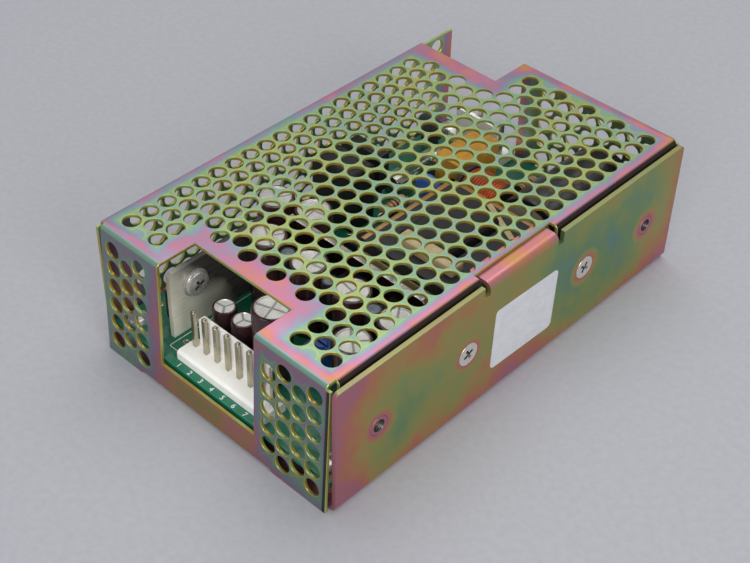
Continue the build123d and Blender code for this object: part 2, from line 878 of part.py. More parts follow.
def header(first_x, count, pins_y, rear):
    """A pin header with its friction wall behind the pins, away from the mating side."""
    last_x = first_x + pin_pitch * (count - 1)
    away = -1 if rear else 1
    inner = pins_y + away * pin_to_wall
    outer = inner - away * header_depth
    y0, y1 = sorted((inner, outer))
    top = board_top + header_thickness
    base = block(first_x - header_end, last_x + header_end, y0, y1, board_top, top)
    mating_edge = base.edges().filter_by(Axis.X).group_by(Axis.Z)[-1].sort_by(Axis.Y)[-1 if rear else 0]
    base = chamfer(mating_edge, header_bevel)
    w0, w1 = sorted((inner, inner - away * friction_wall_thickness))
    wall = block(
        first_x + friction_wall_end, last_x - friction_wall_end, w0, w1, top,
        board_top + friction_wall_height,
    )
    base += chamfer(wall.edges().filter_by(Axis.Y).group_by(Axis.Z)[-1], friction_wall_bevel)
    for x in pin_places(first_x, count):
        hole = block(x - pin_side / 2, x + pin_side / 2, pins_y - pin_side / 2, pins_y + pin_side / 2,
                     board_top, top)
        base -= hole
        if first_x < x < last_x:
            lip = friction_wall_thickness / 3
            l0, l1 = sorted((w0 if away > 0 else w1, (w0 if away > 0 else w1) + away * lip))
            base -= block(x - notch_half, x + notch_half, l0, l1, top + notch_foot, board_top + friction_wall_height)
    return base


def header_pins(places, pins_y):
    """Square pins with bevelled tips, through the header and the board."""
    pins = []
    half = pin_side / 2
    for x in places:
        pin = block(x - half, x + half, pins_y - half, pins_y + half,
                    board_bottom - pin_tail + board_thickness, board_top + pin_top)
        pins.append(chamfer(pin.edges().group_by(Axis.Z)[-1], pin_bevel))
    return Compound(pins)


def electrolytic(x, y, radius, height):
    """A sleeved can that stands on the board."""
    return upright(radius, height, x, y, board_top)


def output_cap_places():
    """Places of the output capacitors: the row at the cross plate and two by the window."""
    row = [(x, cross_plate_face_y - cap_row_inset) for x in cap_row_xs]
    return row + [side_cap_place, (window_cap_x, window_cap_y)]


def rod_choke(x):
    """A sleeved rod choke between two output capacitors."""
    return upright(rod_radius, rod_height, x, cross_plate_face_y - rod_row_inset, board_top)


def bulk_capacitor():
    """The large can, lying along Y on the board."""
    can = along_y(bulk_radius, bulk_length, bulk_x, bulk_front, board_top + bulk_radius)
    return chamfer(can.edges().group_by(Axis.Y)[0], bulk_bevel)


def film_capacitor():
    """A boxed film capacitor with bevelled upright edges."""
    box = block(
        film_x - film_width / 2, film_x + film_width / 2, film_y - film_length / 2,
        film_y + film_length / 2, board_top, board_top + film_height,
    )
    return chamfer(box.edges().filter_by(Axis.Z), film_bevel)


def disc_on_leads(place, radius, thickness):
    """A coated disc on two leads, standing on the board across the width."""
    x, y = place
    centre = board_top + disc_lift + radius
    disc = along_y(radius, thickness, x, y - thickness / 2, centre)
    side = lead_side / 2
    for lead in (x - radius / 2, x + radius / 2):
        disc += block(lead - side, lead + side, y - side, y + side, board_top, centre)
    return disc


def transformer_core():
    """The ferrite core: two outer legs joined by a yoke at each end, and the centre leg."""
    bottom = board_top + core_lift
    top = bottom + core_height
    core = block(core_left, core_right, core_front, core_rear, bottom, top)
    inner_front = core_front + core_leg
    inner_rear = core_rear - core_leg
    middle = (core_left + core_right) / 2
    for x0, x1 in ((core_left + core_leg, middle - core_leg), (middle + core_leg, core_right - core_leg)):
        core -= block(x0, x1, inner_front, inner_rear, bottom, top)
    return core


def transformer_bobbin():
    """The bobbin's feet and pin rails under and before the core."""
    rail_top = board_top + bobbin_rail_height
    front_rail = block(
        core_left + 1, core_right - 1, core_front - bobbin_gap - bobbin_rail_depth,
        core_front - bobbin_gap, board_top, rail_top,
    )
    seat = block(core_left + 1, core_right - 1, core_front - bobbin_gap, core_rear, board_top,
                 board_top + core_lift)
    bobbin = front_rail + seat
    return chamfer(bobbin.edges().filter_by(Axis.X).group_by(Axis.Z)[-1], 0.5)


def transformer_winding():
    """The taped winding, over and under the centre leg, between the outer legs."""
    inner_front = core_front + core_leg + bobbin_gap
    inner_rear = core_rear - core_leg - bobbin_gap
    middle = (core_left + core_right) / 2
    top = board_top + core_lift + core_height
    halves = []
    for x0, x1 in (
        (core_left + core_leg + bobbin_gap, middle - core_leg),
        (middle + core_leg, core_right - core_leg - bobbin_gap),
    ):
        halves.append(block(x0, x1, inner_front, inner_rear, board_top + core_lift, top))
    bridge = block(
        core_left + core_leg + bobbin_gap, core_right - core_leg - bobbin_gap,
        inner_front, inner_rear, top, top + winding_rise,
    )
    winding = bridge
    for half in halves:
        winding += half
    return chamfer(winding.edges().filter_by(Axis.Y).group_by(Axis.Z)[-1], winding_bevel)


def transformer_tape():
    """The tape band around the core's outside."""
    low = board_top + core_lift + (core_height - tape_width) / 2
    outer = block(
        core_left - tape_thickness, core_right + tape_thickness, core_front - tape_thickness,
        core_rear + tape_thickness, low, low + tape_width,
    )
    return outer - block(core_left, core_right, core_front, core_rear, low, low + tape_width)


def line_choke_core():
    """The ferrite drum on its base: a bar between two flanges, along X."""
    start = drum_x - drum_length / 2
    end = drum_x + drum_length / 2
    axis_z = board_top + drum_base_thickness + drum_radius - drum_sink
    core = along_x(drum_core_radius, drum_length, start, drum_y, axis_z)
    core += along_x(drum_radius, drum_flange, start, drum_y, axis_z)
    core += along_x(drum_radius, drum_flange, end - drum_flange, drum_y, axis_z)
    half = drum_base_width / 2
    return core + block(start, end, drum_y - half, drum_y + half, board_top, board_top + drum_base_thickness)


def line_choke_winding():
    """Copper wire wound on the drum, between its flanges."""
    start = drum_x - drum_length / 2 + drum_flange
    length = drum_length - 2 * drum_flange
    axis_z = board_top + drum_base_thickness + drum_radius - drum_sink
    coil = along_x(drum_radius - drum_wire_gap, length, start, drum_y, axis_z)
    return coil - along_x(drum_core_radius, length, start, drum_y, axis_z)


def fuse():
    """The glass fuse with its metal end caps, held above the board."""
    z = board_top + fuse_lift
    start = fuse_y - fuse_length / 2
    tube = along_y(fuse_radius - 0.2, fuse_length, fuse_x, start, z)
    tube += along_y(fuse_radius, fuse_cap_length, fuse_x, start, z)
    return tube + along_y(fuse_radius, fuse_cap_length, fuse_x, start + fuse_length - fuse_cap_length, z)


def fuse_clips():
    """A sprung clip under each end cap."""
    z = board_top + fuse_lift
    half = fuse_radius + clip_wall
    clips = []
    for end in (-1, 1):
        middle = fuse_y + end * (fuse_length - fuse_cap_length) / 2
        y0 = middle - clip_length / 2
        clip = block(fuse_x - half, fuse_x + half, y0, y0 + clip_length, board_top, z + fuse_radius * 0.7)
        clip -= along_y(fuse_radius, clip_length, fuse_x, y0, z)
        clip -= block(fuse_x - fuse_radius * 0.72, fuse_x + fuse_radius * 0.72, y0, y0 + clip_length,
                      z, z + fuse_radius)
        clips.append(clip)
    return Compound(clips)


def filter_choke():
    """The boxed common-mode choke at the line input."""
    box = block(
        filter_x - filter_length / 2, filter_x + filter_length / 2, filter_y - filter_depth / 2,
        filter_y + filter_depth / 2, board_top, board_top + filter_height,
    )
    return chamfer(box.edges().group_by(Axis.Z)[-1], 0.8)


def bridge_rectifier():
    """The flat bridge rectifier, standing on its leads."""
    bottom = board_top + package_lift
    half = bridge_length / 2
    depth = bridge_depth / 2
    body = block(bridge_x - half, bridge_x + half, bridge_y - depth, bridge_y + depth,
                 bottom, bottom + bridge_height)
    body = chamfer(body.edges().filter_by(Axis.Y).group_by(Axis.Z)[-1].sort_by(Axis.X)[0], 2.0)
    side = lead_side / 2
    for index in range(4):
        x = bridge_x + (index - 1.5) * 2 * lead_pitch * 0.75
        body += block(x - side, x + side, bridge_y - side, bridge_y + side, board_top, bottom)
    return body


def chip(x, y, length):
    """A plastic chip body with bevelled top edges, on stub legs."""
    body = block(x - chip_width / 2, x + chip_width / 2, y - length / 2, y + length / 2,
                 board_top + 0.5, board_top + 0.5 + chip_height)
    body = chamfer(body.edges().group_by(Axis.Z)[-1], 0.4)
    count = int(length / lead_pitch)
    for index in range(count):
        leg_y = y + (index - (count - 1) / 2) * lead_pitch
        for side in (-1, 1):
            leg_x = x + side * (chip_width / 2 + 0.15)
            body += block(leg_x - 0.3, leg_x + 0.3, leg_y - 0.4, leg_y + 0.4, board_top, board_top + chip_leg_height)
    return body


def trimmer():
    """The output trimmer with its turning slot."""
    half = trimmer_side / 2
    top = board_top + trimmer_height
    body = block(trimmer_x - half, trimmer_x + half, trimmer_y - half, trimmer_y + half, board_top, top)
    body += upright(trimmer_knob, trimmer_rise, trimmer_x, trimmer_y, top)
    slot = trimmer_slot / 2
    return body - block(
        trimmer_x - trimmer_knob, trimmer_x + trimmer_knob, trimmer_y - slot, trimmer_y + slot,
        top, top + trimmer_rise,
    )


def resistor(x, y):
    """A lying resistor with its two bent leads."""
    z = board_top + resistor_lift + resistor_radius
    body = along_y(resistor_radius, resistor_length, x, y - resistor_length / 2, z)
    side = lead_side / 2
    for end in (-1, 1):
        tip = y + end * (resistor_length / 2 + resistor_lead)
        y0, y1 = sorted((y + end * resistor_length / 2, tip))
        body += block(x - side, x + side, y0, y1, z - side, z + side)
        body += block(x - side, x + side, tip - side, tip + side, board_top, z + side)
    return body


def build_parts():
    """Every sub-part by its node name."""
    output_row = pin_places(output_first_x, output_pins_count)
    input_row = pin_places(input_first_x, input_pins_count)[::2]
    parts = {
        "chassis": chassis(),
        "cover": cover(),
        "rating_label": rating_label(),
        "side_mounting_nuts": side_mounting_nuts(),
        "cover_screws": cover_screws(),
        "circuit_board": circuit_board(),
        "board_standoffs": board_standoffs(),
        "board_screws": board_screws(),
        "output_header": header(output_first_x, output_pins_count, output_pins_y, False),
        "output_pins": header_pins(output_row, output_pins_y),
        "input_header": header(input_first_x, input_pins_count, input_pins_y, True),
        "input_pins": header_pins(input_row, input_pins_y),
        "front_heatsink": front_heatsink(),
        "front_rectifier": front_rectifier(),
        "heatsink_screw": heatsink_screw(),
        "heatsink_washer": heatsink_washer(),
        "heatsink_nut": heatsink_nut(),
        "cross_heatsink": cross_heatsink(),
        "transistor_screws": transistor_screws(),
        "transistor_nuts": transistor_nuts(),
        "transistor_pads": transistor_pads(),
        "bulk_capacitor": bulk_capacitor(),
        "film_capacitor": film_capacitor(),
        "transformer_core": transformer_core(),
        "transformer_bobbin": transformer_bobbin(),
        "transformer_winding": transformer_winding(),
        "transformer_tape": transformer_tape(),
        "line_choke_core": line_choke_core(),
        "line_choke_winding": line_choke_winding(),
        "fuse": fuse(),
        "fuse_clips": fuse_clips(),
        "filter_choke": filter_choke(),
        "bridge_rectifier": bridge_rectifier(),
        "control_chip": chip(chip_x, chip_y, chip_length),
        "optocoupler": chip(coupler_x, coupler_y, coupler_length),
        "trimmer": trimmer(),
        "line_disc_capacitor": disc_on_leads(line_disc_place, disc_radius, disc_thickness),
        "start_disc_capacitor": disc_on_leads(start_disc_place, disc_radius, disc_thickness),
        "thermistor": disc_on_leads(thermistor_place, thermistor_radius, thermistor_thickness),
    }
    for number, y in enumerate((transistor_front_y, transistor_rear_y), 1):
        parts[f"power_transistor_{number}"] = power_transistor(y)
    for number, x in enumerate(rectifier_xs, 1):
        parts[f"output_rectifier_{number}"] = output_rectifier(x)
    for number, (x, y) in enumerate(output_cap_places(), 1):
        parts[f"output_capacitor_{number}"] = electrolytic(x, y, output_cap_radius, output_cap_height)
    for number, x in enumerate(small_cap_xs, 1):
        parts[f"small_capacitor_{number}"] = electrolytic(x, small_cap_y, small_cap_radius, small_cap_height)
    for number, (x, y) in enumerate(primary_cap_places, 1):
        parts[f"primary_capacitor_{number}"] = electrolytic(x, y, output_cap_radius, output_cap_height)
    for number, x in enumerate(rod_xs, 1):
        parts[f"rod_choke_{number}"] = rod_choke(x)
    for number, (x, y) in enumerate((*resistor_places, rear_resistor_place), 1):
        parts[f"resistor_{number}"] = resistor(x, y)
    return parts


os.makedirs("parts", exist_ok=True)
for name, solid in build_parts().items():
    export_step(solid, f"parts/{name}.step")
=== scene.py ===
"""Open-frame power supply in a chromated sheet-metal case, dressed over its CAD frame."""

import json
import logging
import math
from dataclasses import dataclass
from enum import Enum
from functools import reduce
from typing import Callable, NamedTuple, Optional, Sequence, Union

import bmesh
import bpy
from mathutils import Matrix, Vector

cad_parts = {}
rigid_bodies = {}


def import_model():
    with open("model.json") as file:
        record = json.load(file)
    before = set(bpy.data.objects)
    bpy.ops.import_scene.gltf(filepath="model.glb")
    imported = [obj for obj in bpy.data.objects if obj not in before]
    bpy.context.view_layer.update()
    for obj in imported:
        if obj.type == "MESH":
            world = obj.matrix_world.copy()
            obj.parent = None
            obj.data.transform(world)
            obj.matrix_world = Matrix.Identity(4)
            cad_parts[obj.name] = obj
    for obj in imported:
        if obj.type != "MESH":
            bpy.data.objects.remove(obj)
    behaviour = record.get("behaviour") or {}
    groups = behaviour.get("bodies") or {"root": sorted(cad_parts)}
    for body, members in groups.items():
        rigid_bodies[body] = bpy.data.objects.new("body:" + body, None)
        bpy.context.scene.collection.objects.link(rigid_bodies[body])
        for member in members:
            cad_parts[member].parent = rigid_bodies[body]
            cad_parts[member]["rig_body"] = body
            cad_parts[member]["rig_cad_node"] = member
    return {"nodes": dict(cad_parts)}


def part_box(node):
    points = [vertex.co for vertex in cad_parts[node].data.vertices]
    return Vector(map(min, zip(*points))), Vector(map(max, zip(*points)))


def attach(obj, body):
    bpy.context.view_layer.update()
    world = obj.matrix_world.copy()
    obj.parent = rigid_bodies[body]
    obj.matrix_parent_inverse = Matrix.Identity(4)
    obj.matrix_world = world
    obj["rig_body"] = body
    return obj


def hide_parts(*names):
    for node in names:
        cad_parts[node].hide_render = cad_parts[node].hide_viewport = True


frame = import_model()

MM = 0.001
LOG = logging.getLogger("power_supply")
SMOOTH_ANGLE = 32
SHEET_MAP_SCALE = 10

Object = bpy.types.Object
Face = bpy.types.MeshPolygon
Tree = bpy.types.NodeTree
Point = tuple[float, float]
Triple = tuple[float, float, float]
Value = Union["Val", float, tuple]


def linear(code: str) -> tuple[float, float, float, float]:
    """Turn a written colour into the linear values that a shader takes.

    Args:
        code: six hexadecimal digits, such as "c8b46e".

    Returns:
        Red, green, blue and alpha.
    """
    parts = [int(code[at:at + 2], 16) / 255 for at in (0, 2, 4)]
    red, green, blue = [c / 12.92 if c <= 0.04045 else ((c + 0.055) / 1.055) ** 2.4 for c in parts]
    return (red, green, blue, 1.0)


class Slot(Enum):
    """The record's material slots."""

    CHASSIS = "chassis_chromate"
    COVER = "cover_chromate"
    LABEL = "label_silver"
    SCREW = "screw_steel"
    BOARD = "board_green"
    HEADER = "header_white"
    PIN = "pin_tin"
    PLATE = "plate_aluminium"
    PACKAGE = "package_black"
    MAROON = "sleeve_maroon"
    SLEEVE = "sleeve_black"
    FILM = "film_yellow"
    DISC = "disc_blue"
    FERRITE = "ferrite"
    TAPE = "tape_amber"
    BOBBIN = "bobbin_beige"
    WINDING = "winding_black"
    COPPER = "copper_wire"
    PAD = "pad_grey"
    RESISTOR = "resistor_tan"
    TRIMMER = "trimmer_blue"


class Axis(Enum):
    """An axis of the row frame, by its number."""

    X = 0
    Y = 1
    Z = 2


# Nodes, written as sums

def feed(socket: bpy.types.NodeSocket, value: Value) -> None:
    """Link a value into a socket, or set the socket's own value."""
    if isinstance(value, Val):
        socket.id_data.links.new(value.socket, socket)
    else:
        socket.default_value = value


def add_node(tree: Tree, kind: str, sockets: dict, **settings: object) -> bpy.types.Node:
    """Add a shader node.

    Args:
        tree: the tree that it goes into.
        kind: its Blender type after "ShaderNode".
        sockets: a value for each named or numbered input.
        settings: the node's own properties.

    Returns:
        The new node.
    """
    made = tree.nodes.new("ShaderNode" + kind)
    for key, value in settings.items():
        setattr(made, key, value)
    for key, value in sockets.items():
        feed(made.inputs[key], value)
    return made


class Val:
    """An output in a node tree; a sum on it adds the node that works it out."""

    def __init__(self, socket: bpy.types.NodeSocket) -> None:
        """Hold the output."""
        self.socket = socket

    def node(self, kind: str, sockets: dict, output: Union[int, str] = 0, **settings: object) -> "Val":
        """Add a node to the same tree and give one of its outputs."""
        return Val(add_node(self.socket.id_data, kind, sockets, **settings).outputs[output])

    def math(self, operation: str, other: Value = 0.0, clamp: bool = False) -> "Val":
        """Add a math node."""
        return self.node("Math", {0: self, 1: other}, operation=operation, use_clamp=clamp)

    def __add__(self, other: Value) -> "Val":
        """Add."""
        return self.math("ADD", other)

    def __sub__(self, other: Value) -> "Val":
        """Subtract."""
        return self.math("SUBTRACT", other)

    def __mul__(self, other: Value) -> "Val":
        """Multiply."""
        return self.math("MULTIPLY", other)

    def __abs__(self) -> "Val":
        """Without its sign."""
        return self.math("ABSOLUTE")

    def least(self, other: Value) -> "Val":
        """The smaller of two."""
        return self.math("MINIMUM", other)

    def most(self, other: Value) -> "Val":
        """The larger of two."""
        return self.math("MAXIMUM", other)

    def vector(self, operation: str, other: Value = (0, 0, 0)) -> "Val":
        """Add a vector math node."""
        output = "Value" if operation == "LENGTH" else "Vector"
        return self.node("VectorMath", {0: self, 1: other}, output, operation=operation)

    def axes(self) -> list["Val"]:
        """The three parts of a vector."""
        return [Val(socket) for socket in add_node(self.socket.id_data, "SeparateXYZ", {0: self}).outputs]

    def mix(self, first: Value, second: Value) -> "Val":
        """Mix two colours, with this as the share of the second."""
        return self.node("Mix", {0: self, 6: first, 7: second}, 2, data_type="RGBA")

    def blend(self, first: Value, second: Value) -> "Val":
        """Mix two numbers, with this as the share of the second."""
        return self.node("Mix", {0: self, 2: first, 3: second}, data_type="FLOAT")

    def noise(self, scale: float, detail: float = 3.0) -> "Val":
        """Noise at this place."""
        return self.node("TexNoise", {"Vector": self, "Scale": scale, "Detail": detail})

    def span(self, low: float, high: float, start: float = 0.0, end: float = 1.0) -> "Val":
        """Map one range onto another, held at its ends."""
        return self.node("MapRange", {0: self, 1: low, 2: high, 3: start, 4: end})

    def ramp(self, stops: Sequence[tuple[float, str]]) -> "Val":
        """Turn a number into a colour along written stops."""
        made = add_node(self.socket.id_data, "ValToRGB", {0: self})
        line = made.color_ramp.elements
        while len(line) < len(stops):
            line.new(0.5)
        for element, (place, code) in zip(line, stops):
            element.position = place
            element.color = linear(code)
        return Val(made.outputs[0])

    def effect(self, group: Tree, *others: Value) -> list["Val"]:
        """Place a shared group that takes this first, and give its outputs."""
        made = add_node(self.socket.id_data, "Group", {}, node_tree=group)
        for socket, value in zip(made.inputs, (self, *others)):
            feed(socket, value)
        return [Val(socket) for socket in made.outputs]


def object_place(tree: Tree) -> Val:
    """Object coordinates in millimetres."""
    return Val(add_node(tree, "TexCoord", {}).outputs["Object"]).vector("MULTIPLY", (1000, 1000, 1000))


def map_place(tree: Tree, name: str) -> Val:
    """A named UV map, in millimetres."""
    return Val(add_node(tree, "UVMap", {}, uv_map=name).outputs[0]).vector("MULTIPLY", (100, 100, 0))


def shared_group(name: str, inputs: dict, outputs: dict, fill: Callable[..., list[Val]]) -> Tree:
    """Build a shader node group.

    Args:
        name: the group's name.
        inputs: the kind of each input by its name.
        outputs: the kind of each output by its name.
        fill: wires the inside; it takes the inputs and gives the outputs, both in order.

    Returns:
        The node group.
    """
    tree = bpy.data.node_groups.new(name, "ShaderNodeTree")
    for way, sockets in (("INPUT", inputs), ("OUTPUT", outputs)):
        for socket, kind in sockets.items():
            tree.interface.new_socket(socket, in_out=way, socket_type="NodeSocket" + kind)
    entry = tree.nodes.new("NodeGroupInput")
    leave = tree.nodes.new("NodeGroupOutput")
    for socket, value in zip(leave.inputs, fill(*(Val(entry.outputs[key]) for key in inputs))):
        feed(socket, value)
    return tree


class Effects:
    """The shared effects, each one node group."""

    FILM = (
        (0.0, "aba656"), (0.14, "a0b06c"), (0.28, "88aa80"), (0.40, "809f95"), (0.50, "8a90a0"),
        (0.60, "a1809a"), (0.71, "b8788e"), (0.82, "c27d72"), (0.92, "bd8a56"), (1.0, "a38f4c"),
    )
    DEEP_FILM = (
        (0.0, "61867a"), (0.16, "728f60"), (0.32, "8f9454"), (0.46, "a28e52"), (0.60, "b27c55"),
        (0.74, "b56e66"), (0.87, "a86c80"), (1.0, "8b7088"),
    )

    def __init__(self) -> None:
        """Build every group once: the films' colours by thickness, distances and patterns."""
        place, thick, colour = {"Place": "Vector"}, {"Thickness": "Float"}, {"Colour": "Color"}
        far, both = {"Distance": "Float"}, {"Mask": "Float", "Height": "Float"}
        self.film = shared_group("Bright film", thick, colour, lambda value: [value.ramp(self.FILM)])
        self.deep_film = shared_group("Deep film", thick, colour, lambda value: [value.ramp(self.DEEP_FILM)])
        block = {"Centre": "Vector", "Half": "Vector"}
        self.box = shared_group("Box distance", place | block, far, self._box)
        self.lattice = shared_group(
            "Hole distance", place | {"Origin": "Vector", "Period": "Vector"}, far, self._lattice,
        )
        self.grain = shared_group("Grain", place | {"Size": "Float"}, both, self._grain)
        self.brush = shared_group("Brushed lines", place | {"Stretch": "Vector"}, both, self._brush)
        self.dust = shared_group("Dust", place | {"Amount": "Float"}, {"Mask": "Float"}, self._dust)

    @staticmethod
    def _box(place: Val, centre: Val, half: Val) -> list[Val]:
        """Distance outside a box in millimetres, nought inside it."""
        away = place.vector("SUBTRACT", centre).vector("ABSOLUTE")
        return [away.vector("SUBTRACT", half).vector("MAXIMUM").vector("LENGTH")]

    @staticmethod
    def _lattice(place: Val, origin: Val, period: Val) -> list[Val]:
        """Distance from the nearest of the staggered hole centres."""
        half = period.vector("MULTIPLY", (0.5, 0.5, 0))
        back = period.vector("MULTIPLY", (-0.5, -0.5, 0))
        spot = place.vector("SUBTRACT", origin)
        near = []
        for start in (spot, spot.vector("SUBTRACT", half)):
            cell = start.node("VectorMath", {0: start, 1: half, 2: back}, operation="WRAP")
            near.append(cell.vector("MULTIPLY", (1, 1, 0)).vector("LENGTH"))
        return [near[0].least(near[1])]

    @staticmethod
    def _grain(place: Val, size: Val) -> list[Val]:
        """Fine even grain."""
        spot = place.node("VectorMath", {0: place, "Scale": size}, operation="SCALE")
        coarse = spot.noise(0.17)
        return [coarse.span(0.35, 0.65), spot.noise(1.0, 4.0) * 0.6 + coarse * 0.5]

    @staticmethod
    def _brush(place: Val, stretch: Val) -> list[Val]:
        """Lines drawn along one axis."""
        lines = place.vector("MULTIPLY", stretch).noise(1.0, 5.0)
        return [lines.span(0.3, 0.7), lines]

    @staticmethod
    def _dust(place: Val, amount: Val) -> list[Val]:
        """Scattered small specks."""
        near = place.node("TexVoronoi", {"Vector": place, "Scale": 0.55}, "Distance")
        return [near.span(0.02, 0.07, 1.0, 0.0) * place.noise(0.06, 2.0).span(0.5, 0.7) * amount]


EFFECTS = Effects()


# Finishes

class Look(NamedTuple):
    """What a finish feeds its shader: colour, roughness, and a height with its depth and strength."""

    colour: Val
    rough: Val
    height: Optional[Val] = None
    strength: float = 0.3
    depth: Optional[float] = None


@dataclass(frozen=True)
class Finish:
    """A surface finish: two shades of its colour, how it shines and how fine its grain is."""

    name: str
    shade: str
    second: str
    roughness: float = 0.5
    metallic: float = 0.0
    grain: float = 6.0
    depth: float = 0.02
    coat: float = 0.0

    def material(self) -> bpy.types.Material:
        """Build the material."""
        made = bpy.data.materials.new(self.name)
        made.use_nodes = True
        tree = made.node_tree
        tree.nodes.clear()
        look = self.look(tree)
        sockets = {"Metallic": self.metallic, "Coat Weight": self.coat}
        sockets |= {"Base Color": look.colour, "Roughness": look.rough}
        if look.height:
            distance = (self.depth if look.depth is None else look.depth) * MM
            bump = {"Strength": look.strength, "Distance": distance, "Height": look.height}
            sockets["Normal"] = Val(add_node(tree, "Bump", bump).outputs[0])
        shader = add_node(tree, "BsdfPrincipled", sockets)
        add_node(tree, "OutputMaterial", {0: Val(shader.outputs[0])})
        made.diffuse_color = linear(self.shade)
        return made

    def shades(self, share: Val) -> Val:
        """The two shades mixed."""
        return share.mix(linear(self.shade), linear(self.second))

    def gloss(self, mask: Val, low: float, high: float, start: float = 0.0, end: float = 1.0) -> Val:
        """Roughness between two shares of the finish's own, along a mask."""
        return mask.span(start, end, self.roughness * low, min(1.0, self.roughness * high))

    def look(self, tree: Tree) -> Look:
        """Colour, gloss and grain of a plain finish with a little dust."""
        place = object_place(tree)
        mask, height = place.effect(EFFECTS.grain, self.grain)
        colour = place.effect(EFFECTS.dust, 0.35)[0].mix(self.shades(mask), linear("b9b6ae"))
        return Look(colour, self.gloss(mask, 0.85, 1.15), height, 0.5)


@dataclass(frozen=True)
class FloorPaint(Finish):
    """Even matt paint."""

    def look(self, tree: Tree) -> Look:
        """Two close shades, no relief."""
        mask = object_place(tree).effect(EFFECTS.grain, self.grain)[0]
        return Look(self.shades(mask), mask.span(0, 1, 0.62, 0.7))


@dataclass(frozen=True)
class FilmArea:
    """A perforated area of the cover's blank, where the chromate film is thin."""

    left: float
    right: float
    front: float
    rear: float
    origin: Point = (32.94, -57.85)
    period: Point = (9.706, 5.52)
    hole_radius: float = 2.35

    def web(self, place: Val) -> Val:
        """Distance from the nearest hole's edge across the web, large where a hole is left out."""
        web = place.effect(EFFECTS.lattice, (*self.origin, 0), (*self.period, 1))[0] - self.hole_radius
        return web.most((web + 0.14) * -6.0)

    def distance(self, place: Val) -> Val:
        """Distance outside the area in its plane."""
        centre = ((self.left + self.right) / 2, (self.front + self.rear) / 2, 0)
        half = ((self.right - self.left) / 2, (self.rear - self.front) / 2, 0)
        return place.effect(EFFECTS.box, centre, half)[0]


@dataclass(frozen=True)
class ChromateSheet(Finish):
    """Yellow chromate on the cover, patterned on its unfolded blank."""

    areas: tuple[FilmArea, ...] = ()
    front_fold: float = -63.85

    def look(self, tree: Tree) -> Look:
        """Yellow rims and green webs that turn to mauve, pink and orange away from the holes, with painted
        shade on the front flap and the right fold and a painted highlight along the front fold.
        """
        place = map_place(tree, "blank")
        aways = [area.distance(place) for area in self.areas]
        distance = reduce(Val.least, aways)
        web = reduce(Val.least, [area.web(place) + away * 4 for area, away in zip(self.areas, aways)])
        ripple = place.noise(0.13)
        fine = place.noise(0.5)
        swirl = place.noise(0.04, 2.0) + ripple * 0.7
        across, along, _ = place.axes()
        front = along.math("LESS_THAN", self.front_fold - 0.35)
        inside = web.span(0.0, 0.75, 0.10, 0.36) + swirl.span(0.65, 1.05, -0.12, 0.16) + front * 0.11
        outside = distance.span(0.0, 3.4, 0.44, 0.72) + swirl.span(0.65, 1.05, -0.17, 0.17)
        outside = outside + front * abs(across).span(19.0, 40.0, 0.05, -0.14)
        outside = outside + across.span(34.5, 36.5, 0.0, 0.08) + along.span(59.0, 61.5, 0.0, 0.12)
        thick = distance.span(0.0, 1.2).blend(inside, outside)
        sill = place.effect(EFFECTS.box, (-1.4, -98.6, 0), (12.0, 2.0, 50))[0]
        lobes = (swirl + fine * 0.2).span(0.82, 1.10, 1.04, 0.84)
        thick = sill.span(0.0, 5.0, 1.0, 0.0).blend(thick, lobes)
        # Painted highlight: along the front fold the film is set to a light teal thickness, standing in for
        # the light that the bend catches.
        crease = abs(along - self.front_fold)
        thick = crease.span(0.35, 0.95, 0.9, 0.0).blend(thick, 0.33)
        thick = thick.math("ADD", fine.span(0.3, 0.7, -0.03, 0.03), True)
        # Painted shade: the front flap is mixed towards dark grey, so it reads darker than the top, as less
        # light falls on it.
        colour = (front * 0.36).mix(thick.effect(EFFECTS.film)[0], linear("3c3940"))
        # Painted shade: the right fold is mixed towards near black. It stands in for the dark that the bend
        # reflects from the gap beside the chassis.
        colour = across.span(37.75, 38.25, 0.0, 0.94).mix(colour, linear("101c18"))
        height = place.effect(EFFECTS.grain, self.grain)[1]
        return Look(colour, self.gloss(ripple, 0.8, 1.2, 0.3, 0.7), height, 0.25)


@dataclass(frozen=True)
class ChromateEdge(Finish):
    """The gold rim of the holes and the cut edges of the sheet."""

    def look(self, tree: Tree) -> Look:
        """Gold and light green stretches."""
        place = object_place(tree)
        patch = place.noise(0.12, 2.0)
        rough = self.gloss(patch, 0.8, 1.2, 0.3, 0.7)
        return Look(self.shades(patch.span(0.42, 0.62)), rough, place.noise(3.0))


